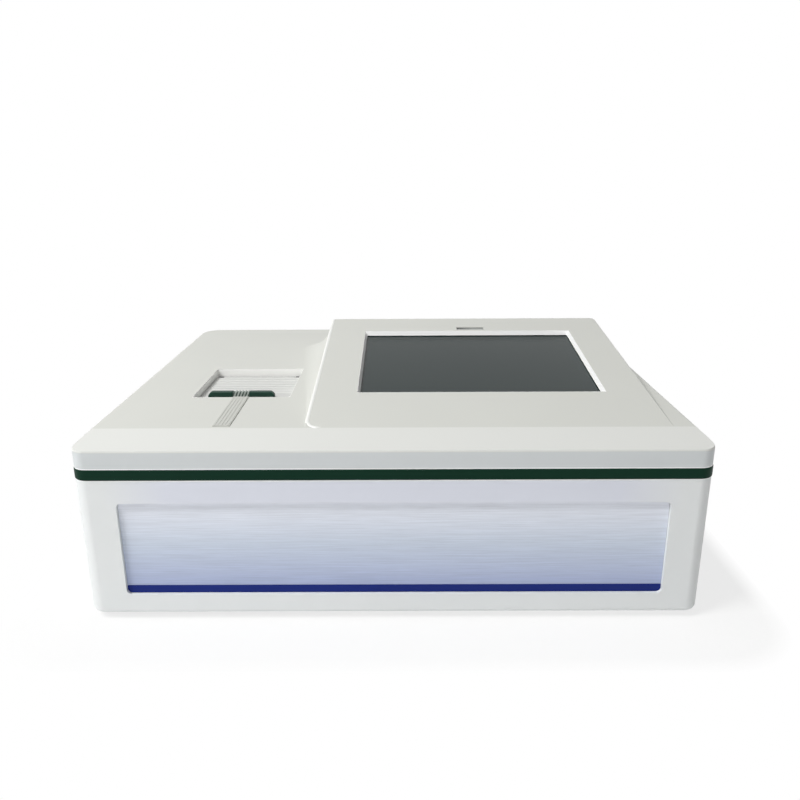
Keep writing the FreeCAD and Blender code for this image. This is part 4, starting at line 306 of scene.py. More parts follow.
coverLook = {
    "tone": "#D3D4CE",
    "cloud": "#CFD0CA",
    "faceTone": "#D0D4D5",        # the upright face over the band, a little cooler
    "stripPaintedLight": "#DDDEDA",       # painted light: the front strip is painted a little brighter, as its slope faces the light
    "mouthPaintedHighlight": "#FFFFFE",       # painted highlight on the walls of the screen's mouth
    "wellPaintedLight": "#FDFDFA",        # painted light on the walls of the sample well
    "partingPaintedHighlight": "#F3F5F5",     # painted highlight along the parting edges beside the band
    "partingEdge": 1.0 * mm,
    "partingSoft": 0.2 * mm,
    "stripDeep": 41.0 * mm,
    "stripSeam": 0.7 * mm,        # over what distance the strip's tone begins
    "stripFoot": 146.6 * mm,      # height at which the upright face under it begins
    "footSoft": 0.4 * mm,
    "mouthSide": 4.8 * mm,        # from the touch glass's edges in to the walls of the mouth
    "mouthFront": 4.1 * mm,
    "mouthBack": 5.7 * mm,
    "wellGap": 0.7 * mm,          # from the lid's edges out to the walls of the well
    "wellBack": 2.7 * mm,
    "wallSoft": 0.1 * mm,
}


# the cover's ABS comes from one mould, textured outside; painted light brightens the front strip
# and the walls of the mouth and the well, painted highlight the parting edge
def coverPlastic():
    look = coverLook
    mat = mouldedPlastic("texturedWarmWhiteABS", look["tone"], look["cloud"], 0.50, 0.30)
    tree = mat.node_tree
    x, y, z = axesOf(tree)
    glassLow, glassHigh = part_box("touch_glass")
    lidLow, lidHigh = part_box("sample_lid")
    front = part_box("upper_cover")[0][1]
    strip = product(tree, between(tree, y, front - farOff, front + look["stripDeep"],
                                  look["stripSeam"]),
                    between(tree, z, look["stripFoot"], farOff, look["footSoft"]))
    face = between(tree, z, -farOff, look["stripFoot"], look["footSoft"])
    mouth = product(tree, between(tree, x, glassLow[0] + look["mouthSide"],
                                  glassHigh[0] - look["mouthSide"], look["wallSoft"]),
                    between(tree, y, glassLow[1] + look["mouthFront"],
                            glassHigh[1] - look["mouthBack"], look["wallSoft"]))
    well = product(tree, between(tree, x, lidLow[0] - look["wellGap"], lidHigh[0] + look["wellGap"],
                                 look["wallSoft"]),
                   between(tree, y, lidLow[1] - look["wellGap"], lidHigh[1] + look["wellBack"],
                           look["wallSoft"]))
    # painted highlight along the cover's lower edge, over the band
    edge = between(tree, z, -farOff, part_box("trim_band")[1][2] + look["partingEdge"],
                   look["partingSoft"])
    return toneZones(mat, [(face, look["faceTone"]), (strip, look["stripPaintedLight"]),
                           (edge, look["partingPaintedHighlight"]), (mouth, look["mouthPaintedHighlight"]),
                           (well, look["wellPaintedLight"])])


coverWhite = coverPlastic()

tubLook = {
    "tone": "#E7E9E9",
    "cloud": "#E3E6E6",
    "browTone": "#DCDFE9",      # over the panel the plastic takes on its lavender cast
    "browInset": 15 * mm,
    "browFoot": 4 * mm,         # how far under the panel's top it begins
    "browDeep": 6 * mm,         # and how far behind the panel it ends
    "browSoft": (25 * mm, 2 * mm, 6 * mm),
    # painted highlight along the shell's upper edge, under the band
    "edgePaintedHighlight": "#F5F7F7",
}


# the lower shell's ABS: cooler and smoother than the cover's, with a painted highlight along its
# upper edge
def tubPlastic():
    look = tubLook
    mat = mouldedPlastic("texturedCoolWhiteABS", look["tone"], look["cloud"], 0.48, 0.30)
    tree = mat.node_tree
    x, y, z = axesOf(tree)
    softX, softY, softZ = look["browSoft"]
    low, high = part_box("front_panel")
    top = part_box("lower_shell")[1][2]
    across = between(tree, x, low[0] + look["browInset"], high[0] - look["browInset"], softX)
    up = between(tree, z, high[2] - look["browFoot"], farOff, softZ)
    ahead = between(tree, y, -farOff, high[1] + look["browDeep"], softY)
    brow = product(tree, product(tree, across, up), ahead)
    edge = between(tree, z, top - coverLook["partingEdge"], farOff, coverLook["partingSoft"])
    return toneZones(mat, [(brow, look["browTone"]), (edge, look["edgePaintedHighlight"])])


tubWhite = tubPlastic()

# other mouldings, rubbers and coatings: name, tone, tone of its clouds, roughness, gloss
# the rim's white is smoother than the cover's ABS, and painted much lighter as a highlight on the
# console's edge
polishedHighlightWhite = mouldedPlastic("polishedHighlightWhiteABS", "#EEEFEB", "#EAEBE7", 0.34, 0.35)
bandGreen = mouldedPlastic("deepGreenABS", "#0A3022", "#082A1D", 0.45, 0.08)
pullGreen = mouldedPlastic("deepGreenABSPull", "#1B3D31", "#18372C", 0.45, 0.2)
lidGrey = mouldedPlastic("texturedGreyWhiteABS", "#CCCCC9", "#C6C7C4", 0.50, 0.35)
ridgeWhite = mouldedPlastic("buffedGreyWhiteABS", "#DEDFDC", "#DADBD8", 0.42, 0.35)
blackNylon = mouldedPlastic("blackGlassFilledNylon", "#1B1B1C", "#151516", 0.50, 0.3)
gripRubber = mouldedPlastic("darkSageSoftTouchRubber", "#5E6B64", "#56635C", 0.62, 0.3)
ribRubber = mouldedPlastic("paleSageSoftTouchRubber", "#B3BAB5", "#A9B1AB", 0.62, 0.3)
inlayGrey = mouldedPlastic("ribbedGreyWhiteABS", "#C6C7C1", "#C1C2BC", 0.50, 0.3)
footRubber = mouldedPlastic("blackNitrileRubber", "#161616", "#121212", 0.75, 0.3)
foamBlack = mouldedPlastic("blackClosedCellFoam", "#1A1A1A", "#121212", 0.85, 0.2)
socketBlack = mouldedPlastic("blackPolyesterInsert", "#1C1C1E", "#161618", 0.45, 0.3)
printWhite = mouldedPlastic("whitePadPrint", "#E6E6E4", "#DFDFDD", 0.55, 0.3)
inletCharcoal = mouldedPlastic("charcoalPolycarbonate", "#303134", "#2B2C2F", 0.50, 0.3)
drawerCharcoal = mouldedPlastic("charcoalPolycarbonateDrawer", "#27282A", "#232426", 0.42, 0.35)
rockerBlack = mouldedPlastic("glossBlackPolyamide", "#121213", "#0F0F10", 0.22, 0.5)
steatite = mouldedPlastic("unglazedSteatiteCeramic", "#E8E2D4", "#DDD6C6", 0.70)
boardGreen = mouldedPlastic("solderMaskedBoard", "#0F4B2C", "#0D4226", 0.32)
blackAnodised = mouldedPlastic("blackAnodisedAluminium", "#141416", "#101012", 0.48)
powderGrey = mouldedPlastic("lightGreyPowderCoat", "#B4B9BB", "#AEB3B5", 0.52)
navyPaint = mouldedPlastic("navyScreenPrintedPaint", "#1F2F7C", "#1B2970", 0.45, 0.08)
displayDark = mouldedPlastic("matteDisplayPolariser", "#3B4242", "#363D3D", 0.35)

windowLook = {
    "tone": "#2A2C2D",
    "cloud": "#242627",
    "paleTone": "#8B8E8B",    # the diffuser behind it shows through, but for its left end, which stays dark as painted shade
    "dark": 6 * mm,           # how far left of the middle the painted shade at the dark end stops
    "soft": 8 * mm,
}


# smoked acrylic in front of a pale diffuser, with painted shade at its left end
def windowAcrylic():
    mat = mouldedPlastic("smokedAcrylic", windowLook["tone"], windowLook["cloud"], 0.20, 0.3)
    x = axesOf(mat.node_tree)[0]
    low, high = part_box("status_window")
    middle = (low[0] + high[0]) / 2
    unshaded = between(mat.node_tree, x, middle - windowLook["dark"], farOff, windowLook["soft"])
    return toneZones(mat, [(unshaded, windowLook["paleTone"])])


smokedAcrylic = windowAcrylic()

metalLook = {
    "stretch": (1, 24, 24),    # scratches run along X, and are this much finer across
    "shade": 0.86,             # tone in the scratches, as a share of the metal's own
    "roughSpread": 0.07,
}


# rolled and brushed sheet: fine parallel scratches along X, soft highlights across them
def brushedMetal(name, tone, roughness, streak):
    mat, tree, shader = newMaterial(name, Metallic=1.0)
    lines = noise(tree, objectSpot(tree, metalLook["stretch"]), streak, Detail=3.0)
    deep = tuple(c * metalLook["shade"] for c in hexColour(tone)[:3]) + (1,)
    tree.links.new(mixTones(tree, lines, hexColour(tone), deep), shader.inputs["Base Color"])
    varyRoughness(tree, shader, lines, roughness, metalLook["roughSpread"])
    return mat


# metals: name, tone, roughness, length class of the scratches in mm
zincSteel = brushedMetal("zincPlatedSteel", "#B9BBBC", 0.34, 12.0)
nickelPlate = brushedMetal("nickelPlatedContact", "#D6D2C8", 0.20, 8.0)
turnedBrass = brushedMetal("turnedBrass", "#D2AE62", 0.28, 6.0)
milledAlloy = brushedMetal("milledAluminium", "#C3C6C8", 0.38, 30.0)
goldMirror = brushedMetal("frontSurfaceGoldMirror", "#F0D79A", 0.12, 60.0)

satinSheet = {
    # tones up the sheet from its foot to its top; the top's tone is made lighter as painted light,
    # against the shade under the recess's upper lip
    "stops": ((0.0, "#9FAACD"), (0.24, "#B7C1DA"), (0.55, "#CBD4E3"), (1.0, "#EDF0F8")),
    "streak": 34.0,             # mm, length class of the brushing
    "stretch": (1, 40, 40),
    "faint": (0.91, 1.08),      # how far the streaks darken and lighten the lacquer
    "roughness": 0.42,
    "roughSpread": 0.08,
}


# brushed aluminium sheet under a tinted lacquer that deepens to lavender blue towards its foot
def satinPanel():
    mat, tree, shader = newMaterial("brushedLacqueredAluminium", Metallic=0.0, IOR=1.5,
                                    Specular_IOR_Level=0.3)
    z = axesOf(tree)[2]
    low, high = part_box("front_panel")
    rise = addNode(tree, "ShaderNodeMapRange",
                   {"Value": z, "From Min": low[2], "From Max": high[2]})
    ramp = addNode(tree, "ShaderNodeValToRGB", {"Fac": rise.outputs[0]})
    stops = ramp.color_ramp.elements
    while len(stops) < len(satinSheet["stops"]):
        stops.new(0.5)
    for stop, (where, tone) in zip(stops, satinSheet["stops"]):
        stop.position = where
        stop.color = hexColour(tone)
    lines = noise(tree, objectSpot(tree, satinSheet["stretch"]), satinSheet["streak"],
                  Detail=5.0, Roughness=0.6)
    darkest, lightest = satinSheet["faint"]
    faint = addNode(tree, "ShaderNodeMapRange", {"Value": lines, "From Min": 0.3, "From Max": 0.7,
                                                 "To Min": darkest, "To Max": lightest})
    tint = mixTones(tree, 1.0, ramp.outputs[0], faint.outputs[0], blend_type="MULTIPLY")
    tree.links.new(tint, shader.inputs["Base Color"])
    varyRoughness(tree, shader, lines, satinSheet["roughness"], satinSheet["roughSpread"])
    return mat


satinAluminium = satinPanel()


# polished crystal for the beam: clear, with a clean Fresnel gloss
def clearCrystal():
    return newMaterial("polishedCalciumFluoride", IOR=1.50, Transmission_Weight=1.0,
                       Roughness=0.02, Base_Color=hexColour("#F4F8F8"))[0]


crystalClear = clearCrystal()

screenLook = {
    "tone": "#25302F",
    "patch": "#1C2929",
    "patchSize": 140.0,    # mm, cloudiness of the film under the glass
    "etchSize": 0.08,      # mm
    "roughness": 0.22,
    "roughSpread": 0.04,
}


# resistive touch panel: etched anti-glare film over a dark display, its tone slowly clouded
def touchPanel():
    mat, tree, shader = newMaterial("etchedTouchGlass", IOR=1.5, Specular_IOR_Level=0.12)
    spot = objectSpot(tree)
    cloud = noise(tree, spot, screenLook["patchSize"], Detail=1.0)
    mixed = mixTones(tree, cloud, hexColour(screenLook["tone"]), hexColour(screenLook["patch"]))
    tree.links.new(mixed, shader.inputs["Base Color"])
    varyRoughness(tree, shader, noise(tree, spot, screenLook["etchSize"]), screenLook["roughness"],
                  screenLook["roughSpread"])
    return mat


touchDark = touchPanel()

slotMaterials = {
    "case_white": coverWhite, "band_green": bandGreen, "satin_panel": satinAluminium,
    "stripe_navy": navyPaint, "screen_glass": touchDark, "display_grey": displayDark,
    "gasket_black": foamBlack, "lid_grey": lidGrey, "pull_green": pullGreen,
    "grip_rubber": gripRubber, "chamber_black": blackAnodised, "crystal": crystalClear,
    "smoked_window": smokedAcrylic, "steel": zincSteel, "bright_metal": nickelPlate,
    "brass": turnedBrass, "cast_alloy": milledAlloy, "mirror_coat": goldMirror,
    "lamp_ceramic": steatite, "board_green": boardGreen, "black_plastic": blackNylon,
    "foot_rubber": footRubber, "rear_grey": powderGrey,
}
nodeMaterials = {"lower_shell": tubWhite, "power_inlet": inletCharcoal,
                 "fuse_drawer": drawerCharcoal, "power_rocker": rockerBlack}


def dress(thing, material):
    if not thing.material_slots:
        thing.data.materials.append(material)
    for place in thing.material_slots:
        place.material = material


def lookOf(nodeName):
    return nodeMaterials.get(nodeName, slotMaterials[slotOf[nodeName]])


for nodeName, thing in cadNodes.items():
    dress(thing, lookOf(nodeName))

print("stage: rounded skins")


# shades flat faces flat and lets the light run round the small edges
def settleNormals(piece, crease=42.0):
    for face in piece.data.polygons:
        face.use_smooth = True
    piece.data.set_sharp_from_angle(angle=math.radians(crease))
    weigh = piece.modifiers.new("weighted", "WEIGHTED_NORMAL")
    weigh.keep_sharp = True
    settled = piece.evaluated_get(bpy.context.evaluated_depsgraph_get())
    ready = bpy.data.meshes.new_from_object(settled)
    piece.modifiers.clear()
    piece.data = ready


def newPiece(name, bm, material, body, replaced=()):
    bmesh.ops.recalc_face_normals(bm, faces=bm.faces)
    mesh = bpy.data.meshes.new(name)
    bm.to_mesh(mesh)
    bm.free()
    piece = bpy.data.objects.new(name, mesh)
    bpy.context.scene.collection.objects.link(piece)
    mesh.materials.append(material)
    settleNormals(piece)
    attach(piece, body)
    if replaced:
        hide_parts(*replaced)
    return piece


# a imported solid's skin with its loose triangles joined, and flat faces made whole
def joinedSkin(nodeName):
    bm = bmesh.new()
    bm.from_mesh(cadNodes[nodeName].data)
    bmesh.ops.remove_doubles(bm, verts=bm.verts, dist=0.004 * mm)
    bmesh.ops.dissolve_degenerate(bm, edges=bm.edges, dist=0.002 * mm)
    bmesh.ops.dissolve_limit(bm, angle_limit=math.radians(0.4), verts=bm.verts, edges=bm.edges)
    return bm


edgeRounds = {    # mm, how far each edge is rounded; what isn't named gets "other"
    "upper_cover": 0.7,
    "lower_shell": 0.5,
    "trim_band": 0.25,
    "sample_lid": 0.4,
    "lid_pull": 0.3,
    "touch_glass": 0.3,
    "front_panel": 0.15,
    "front_stripe": 0.1,
    "rear_panel": 0.15,
    "power_inlet": 0.5,
    "fuse_drawer": 0.3,
    "power_rocker": 0.4,
    "fan_frame": 0.4,
    "fan_guard": 0.25,
    "cuvette_holder": 0.4,
    "power_supply": 0.8,
    "optical_bench": 0.5,
    "other": 0.15,
}


def roundEdges(bm, width, limit=28.0, segments=2):
    sharp = [edge for edge in bm.edges
             if edge.is_manifold and edge.calc_face_angle(0.0) > math.radians(limit)]
    bmesh.ops.bevel(bm, geom=sharp, offset=width * mm, offset_type="OFFSET", affect="EDGES",
                    segments=segments, profile=0.5, material=-1, clamp_overlap=True)


def makeSkin(nodeName):
    bm = joinedSkin(nodeName)
    roundEdges(bm, edgeRounds.get(nodeName, edgeRounds["other"]))
    return newPiece(nodeName + "Skin", bm, lookOf(nodeName), bodyOf[nodeName],
                    (nodeName,))


liningLook = {
    "wall": 1.0 * mm,      # the plating's share, from the socket's sides
    "face": 0.4 * mm,      # from its open face
    "back": 0.5 * mm,
}


# the plastic inside a plated socket: whatever lies behind its face and within its walls
def lineSocket(nodeName, skin):
    low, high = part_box(nodeName)
    wall = liningLook["wall"]
    skin.data.materials.append(socketBlack)
    for face in skin.data.polygons:
        x, y, z = face.center
        inWalls = low[0] + wall < x < high[0] - wall and low[2] + wall < z < high[2] - wall
        if inWalls and low[1] + liningLook["back"] < y < high[1] - liningLook["face"]:
            face.material_index = 1


replacedByHand = ("pull_grip", "rear_screws", "foot_screws", "case_screws", "feet", "serial_port")
for nodeName in cadNodes:
    if nodeName not in replacedByHand:
        skin = makeSkin(nodeName)
        if nodeName in ("network_port", "usb_port"):
            lineSocket(nodeName, skin)

print("stage: fasteners and feet")


# the box of each separate solid in a node
def solidBoxes(nodeName):
    bm = joinedSkin(nodeName)
    left = dict.fromkeys(bm.verts)
    boxes = []
    while left:
        group = [left.popitem()[0]]
        for vert in group:
            for edge in vert.link_edges:
                other = edge.other_vert(vert)
                if other in left:
                    del left[other]
                    group.append(other)
        spots = [vert.co for vert in group]
        boxes.append((Vector([min(s[i] for s in spots) for i in range(3)]),
                      Vector([max(s[i] for s in spots) for i in range(3)])))
    bm.free()
    return boxes


# a closed loop of edges through a few spots
def outline(bm, spots):
    corners = [bm.verts.new(spot) for spot in spots]
    return [bm.edges.new(pair) for pair in zip(corners, corners[1:] + corners[:1])]


# skins a row of outlines, then caps both ends or joins the last outline to the first
def skinOver(bm, loops, ring=False):
    for lower, upper in zip(loops, loops[1:]):
        bmesh.ops.bridge_loops(bm, edges=lower + upper)
    if ring:
        bmesh.ops.bridge_loops(bm, edges=loops[-1] + loops[0])
    else:
        bmesh.ops.holes_fill(bm, edges=loops[0] + loops[-1], sides=len(loops[0]))


# turns a profile of radii and levels about Z
def turned(profile, sides, ring=False):
    bm = bmesh.new()
    corners = [bm.verts.new((radius, 0.0, level)) for radius, level in profile]
    pairs = list(zip(corners, corners[1:])) + ([(corners[-1], corners[0])] if ring else [])
    edges = [bm.edges.new(pair) for pair in pairs]
    bmesh.ops.spin(bm, geom=corners + edges, cent=(0, 0, 0), axis=(0, 0, 1), angle=2 * math.pi,
                   steps=sides, use_merge=True)
    return bm


# a quarter circle from straight up a wall of this radius to a flat top or foot at level zero
def shoulder(radius, size, side):
    angles = [math.radians(30 * step) for step in (1, 2, 3)]
    return [(radius - size * (1 - math.cos(a)), side * size * (1 - math.sin(a))) for a in angles]


# draws walls down from an outline and closes them with a floor
def sink(bm, rim, depth):
    grown = bmesh.ops.extrude_edge_only(bm, edges=rim)["geom"]
    corners = [item for item in grown if isinstance(item, bmesh.types.BMVert)]
    bmesh.ops.translate(bm, vec=(0, 0, -depth), verts=corners)
    foot = list(dict.fromkeys(edge for vert in corners for edge in vert.link_edges
                              if edge.is_boundary))
    bmesh.ops.holes_fill(bm, edges=foot, sides=len(foot))


# fills the flat face between an outline and the pockets in it, and sinks the pockets
def sinkPockets(bm, rim, pockets, depth):
    rims = [outline(bm, pocket) for pocket in pockets]
    bmesh.ops.triangle_fill(bm, use_beauty=True, edges=rim + [edge for row in rims for edge in row])
    for row in rims:
        sink(bm, row, depth)


# one mesh from several, each moved to its place
def joinParts(parts):
    whole = bmesh.new()
    held = bpy.data.meshes.new("held")
    for single, place in parts:
        single.transform(place)
        single.to_mesh(held)
        whole.from_mesh(held)
        single.free()
    bpy.data.meshes.remove(held)
    return whole


screwLook = {
    "recessArm": 0.62,     # share of the head's radius that the cross recess reaches
    "recessWide": 0.17,    # half width of an arm, as a share of the radius
    "recessDeep": 0.55,    # share of the head's height
    "edgeRound": 0.32,     # share of the head's height taken by its rounded shoulder
    "tip": (0.6, 0.5),     # the tip's radius and height, as shares of the shank's radius
    "sides": 24,
    "crossTurn": 40.0,     # radians per metre along X, so that the crosses don't line up
}

screwSets = {    # mm, head's height and shank's radius; degrees that point the head outwards
    "rear_screws": {"head": 1.5, "shank": 1.25, "turn": -90},
    "foot_screws": {"head": 1.8, "shank": 1.75, "turn": 180},
    "case_screws": {"head": 3.0, "shank": 1.95, "turn": 180},
}


# a pan head screw with a cross recess, standing on Z with the top of its head at zero
def makeScrew(headRadius, headHeight, shankRadius, length):
    edge = headHeight * screwLook["edgeRound"]
    tipShare, tipHigh = screwLook["tip"]
    profile = [(shankRadius * tipShare, -length), (shankRadius, -length + shankRadius * tipHigh),
               (shankRadius, -headHeight), (headRadius, -headHeight), (headRadius, -edge)]
    bm = turned(profile + shoulder(headRadius, edge, -1), screwLook["sides"])
    ends = [item for item in bm.edges if item.is_boundary]
    tip = [item for item in ends if item.verts[0].co.z < -headHeight]
    rim = [item for item in ends if item.verts[0].co.z > -headHeight]
    bmesh.ops.holes_fill(bm, edges=tip, sides=len(tip))
    arm = headRadius * screwLook["recessArm"]
    half = headRadius * screwLook["recessWide"]
    cross = []
    for c, s in ((1, 0), (0, 1), (-1, 0), (0, -1)):
        cross += [(x * c - y * s, x * s + y * c, 0.0)
                  for x, y in ((arm, -half), (arm, half), (half, half))]
    sinkPockets(bm, rim, [cross], headHeight * screwLook["recessDeep"])
    return bm


def makeScrews(nodeName):
    look = screwSets[nodeName]
    turn = Matrix.Rotation(math.radians(look["turn"]), 4, "X")
    parts = []
    for low, high in solidBoxes(nodeName):
        top = (low + high) / 2
        if look["turn"] == 180:
            top.z, length = low.z, high.z - low.z
        else:
            top.y, length = high.y, high.y - low.y
        single = makeScrew((high.x - low.x) / 2, look["head"] * mm, look["shank"] * mm, length)
        spun = Matrix.Rotation(top.x * screwLook["crossTurn"], 4, "Z")
        parts.append((single, Matrix.Translation(top) @ turn @ spun))
    newPiece(nodeName + "Cross", joinParts(parts), zincSteel, "case",
             (nodeName,))


for nodeName in screwSets:
    makeScrews(nodeName)

footLook = {
    "lip": 0.8 * mm,           # rounding of the foot's lower edge
    "taper": 1.2 * mm,         # how much slimmer it is at its lower edge
    "bore": 4.2 * mm,          # recess for the screw's head
    "boreDeep": 2.8 * mm,
    "hole": 1.8 * mm,
    "grooves": 3,
    "grooveInset": 1.5 * mm,   # of the outermost groove, from the lower edge
    "groovePitch": 0.9 * mm,
    "groove": ((0.0, 0.0), (0.15 * mm, 0.25 * mm), (0.35 * mm, 0.25 * mm), (0.5 * mm, 0.0)),
    "sides": 48,
}


# turned rubber foot: tapered, rounded at the floor, with fine grooves round its face
def makeFeet():
    look = footLook
    boxes = solidBoxes("feet")
    low, high = boxes[0]
    outer, height = (high.x - low.x) / 2, high.z - low.z
    narrow = outer - look["taper"]
    profile = [(look["hole"], height), (outer, height), (narrow, look["lip"])]
    profile += shoulder(narrow, look["lip"], 1)
    for groove in range(look["grooves"]):
        at = narrow - look["grooveInset"] - groove * look["groovePitch"]
        profile += [(at - inwards, level) for inwards, level in look["groove"]]
    profile += [(look["bore"], 0.0), (look["bore"], look["boreDeep"]),
                (look["hole"], look["boreDeep"])]
    single = turned(profile, look["sides"], ring=True)
    parts = [(single.copy(), Matrix.Translation(((l.x + h.x) / 2, (l.y + h.y) / 2, l.z)))
             for l, h in boxes]
    single.free()
    newPiece("feetTurned", joinParts(parts), footRubber, "case", ("feet",))


makeFeet()

print("stage: console edge")

consoleFace = {
    "left": 176.5 * mm,     # from the case's left side
    "crease": 41.0 * mm,    # from the case's front
    "deck": 152.0 * mm,
    "tilt": 6.75,           # degrees
    "reach": 279.0 * mm,    # from the crease to the back edge
}

rimLook = {
    "radius": 2.3 * mm,
    "sunk": 1.95 * mm,      # its middle lies this far under the console's face
    "inset": 1.9 * mm,      # and this far in from the console's side
    "swell": 0.5 * mm,      # how much thicker it gets round the front corner
    "curl": 9.0 * mm,       # its turn at that corner, across
    "climb": 16.0 * mm,     # and up the slope
    "foot": 1.2 * mm,       # where the turn ends, behind the front crease
    "tail": 6.0 * mm,       # length in which it fades along the crease
    "taper": 0.36 * mm,     # how much thinner each stop of the tail is
    "sides": 14,
    "sideStops": 12,
    "turnStops": 10,
    "tailStops": 4,
}


# a spot on the console's tilted face, or so far out from it
def onConsole(x, y, out):
    tilt = math.radians(consoleFace["tilt"])
    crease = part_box("upper_cover")[0][1] + consoleFace["crease"]
    return Vector((x, y - out * math.sin(tilt),
                   consoleFace["deck"] + (y - crease) * math.tan(tilt) + out * math.cos(tilt)))


# a round rod along a path: circles at its stops, bridged one to the next
def sweepRod(path, radii, sides):
    bm = bmesh.new()
    loops = []
    for i, spot in enumerate(path):
        ahead = (path[min(i + 1, len(path) - 1)] - path[max(i - 1, 0)]).normalized()
        turn = ahead.to_track_quat("Z", "Y").to_matrix().to_4x4()
        made = bmesh.ops.create_circle(bm, cap_ends=False, segments=sides, radius=radii[i],
                                       matrix=Matrix.Translation(spot) @ turn)
        loops.append([edge for edge in bm.edges if edge.verts[0] in made["verts"]])
    skinOver(bm, loops)
    return bm


# the crowned rim of the console, smoother than the cover and painted lighter as a highlight: down
# its left side and round the front corner
def makeRim():
    look = rimLook
    left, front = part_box("upper_cover")[0][:2]
    x = left + consoleFace["left"] + look["inset"]
    crease = front + consoleFace["crease"]
    far, near = crease + consoleFace["reach"], crease + look["climb"]
    spots = [(x, far - (far - near) * i / look["sideStops"]) for i in range(look["sideStops"] + 1)]
    radii = [look["radius"]] * len(spots)
    for step in range(1, look["turnStops"] + 1):
        angle = math.pi / 2 * step / look["turnStops"]
        spots.append((x + look["curl"] * (1 - math.cos(angle)),
                      near - (look["climb"] - look["foot"]) * math.sin(angle)))
        radii.append(look["radius"] + look["swell"] * step / look["turnStops"])
    endX, endY = spots[-1]
    for step in range(1, look["tailStops"] + 1):
        spots.append((endX + look["tail"] * step / look["tailStops"], endY))
        radii.append(look["radius"] + look["swell"] - look["taper"] * step)
    path = [onConsole(a, b, -look["sunk"]) for a, b in spots]
    newPiece("consoleRim", sweepRod(path, radii, look["sides"]), polishedHighlightWhite, "case")


makeRim()

print("stage: lid details")

gripLook = {
    "ribs": 5,
    "ribWide": 1.25 * mm,
    "lean": 2.4 * mm,          # how far a rib leans to the right as it climbs the pull
    "ribHigh": 0.75 * mm,
    "ribRoot": 0.15 * mm,      # how deep the ribs stand in the saddle
    "ribFoot": 0.4 * mm,       # how far over the saddle's lower edge they end
    "side": 0.3 * mm,          # from the saddle's sides to the outer ribs
    "skin": 1.35 * mm,
    "round": 0.12,
}


# flat walls from one row of corners to the next
def wallBetween(bm, lower, upper):
    for i in range(len(lower)):
        bm.faces.new((lower[i - 1], lower[i], upper[i], upper[i - 1]))


# wraps a strip over the pull: up its front, over its top and down its back
def sweepOver(bm, outer, inner, bottom, foot, head):
    low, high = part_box("pull_grip")
    rings = []
    for atBack, atTop in ((False, False), (False, True), (True, True), (True, False)):
        left, right = head if atTop else foot
        spots = []
        for x, depth in ((left, outer), (right, outer), (right, inner), (left, inner)):
            spots.append((x, high[1] - depth if atBack else low[1] + depth,
                          high[2] - depth if atTop else bottom))
        rings.append([bm.verts.new(spot) for spot in spots])
    bmesh.ops.contextual_create(bm, geom=rings[0])
    bmesh.ops.contextual_create(bm, geom=rings[-1])
    for lower, upper in zip(rings, rings[1:]):
        wallBetween(bm, lower, upper)


# soft saddle over the pull, with leaning ribs that the fingertips hold
def makeGrip():
    look = gripLook
    low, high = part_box("pull_grip")
    sides = (low[0], high[0])
    saddle = bmesh.new()
    sweepOver(saddle, look["ribHigh"], look["skin"], low[2], sides, sides)
    roundEdges(saddle, look["round"])
    newPiece("pullGripSaddle", saddle, gripRubber, "lid", ("pull_grip",))
    ribs = bmesh.new()
    room = high[0] - low[0] - look["lean"] - look["ribWide"] - 2 * look["side"]
    bottom = low[2] + look["ribFoot"]
    for rib in range(look["ribs"]):
        left = low[0] + look["side"] + room * rib / (look["ribs"] - 1)
        foot = (left, left + look["ribWide"])
        head = [x + look["lean"] for x in foot]
        sweepOver(ribs, 0.0, look["ribHigh"] + look["ribRoot"], bottom, foot, head)
    roundEdges(ribs, look["round"])
    newPiece("pullGripRibs", ribs, ribRubber, "lid")


makeGrip()

inlayLook = {
    "relief": 14.5 * mm,     # width of its relief in the deck
    "floor": 28.5 * mm,      # the relief's floor, over the cover's foot
    "front": 45.0 * mm,      # the relief's front end, from the case's front
    "fromLid": 0.9 * mm,
    "root": 0.5 * mm,
    "proud": 0.7 * mm,       # how far the strip stands over the relief's floor
    "edge": 0.15 * mm,       # gap to the walls of its relief
    "ribs": 5,
    "ribPitch": 2.9 * mm,
    "ribWide": 0.9 * mm,
    "ribHigh": 0.25 * mm,
    "ribRoot": 0.2 * mm,
    "ribInset": 1.0 * mm,    # from the strip's ends
    "round": 0.12,
}


def addBlock(bm, low, high):
    made = bmesh.ops.create_cube(bm, size=1.0)
    bmesh.ops.scale(bm, vec=[b - a for a, b in zip(low, high)], verts=made["verts"])
    bmesh.ops.translate(bm, vec=[(a + b) / 2 for a, b in zip(low, high)], verts=made["verts"])


# ribbed strip let into the deck between the well and the front, where a finger slides to the pull
def makeInlay():
    look = inlayLook
    lidLow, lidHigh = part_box("sample_lid")
    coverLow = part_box("upper_cover")[0]
    middle = (lidLow[0] + lidHigh[0]) / 2
    half = look["relief"] / 2 - look["edge"]
    front = coverLow[1] + look["front"] + look["edge"]
    back = lidLow[1] - look["fromLid"]
    floor = coverLow[2] + look["floor"]
    top = floor + look["proud"]
    bm = bmesh.new()
    addBlock(bm, (middle - half, front, floor - look["root"]), (middle + half, back, top))
    for rib in range(look["ribs"]):
        x = middle + (rib - (look["ribs"] - 1) / 2) * look["ribPitch"]
        addBlock(bm, (x - look["ribWide"] / 2, front + look["ribInset"], top - look["ribRoot"]),
                 (x + look["ribWide"] / 2, back - look["ribInset"], top + look["ribHigh"]))
    roundEdges(bm, look["round"])
    newPiece("deckInlay", bm, inlayGrey, "case")


makeInlay()

ridgeLook = {
    "count": 9,
    "pitch": 6.2 * mm,
    "wide": 1.1 * mm,
    "crown": 0.4,            # width of its top, as a share of its foot's
    "high": 0.45 * mm,
    "root": 0.3 * mm,
    "fromBack": 11.0 * mm,
    "inset": 2.0 * mm,
}


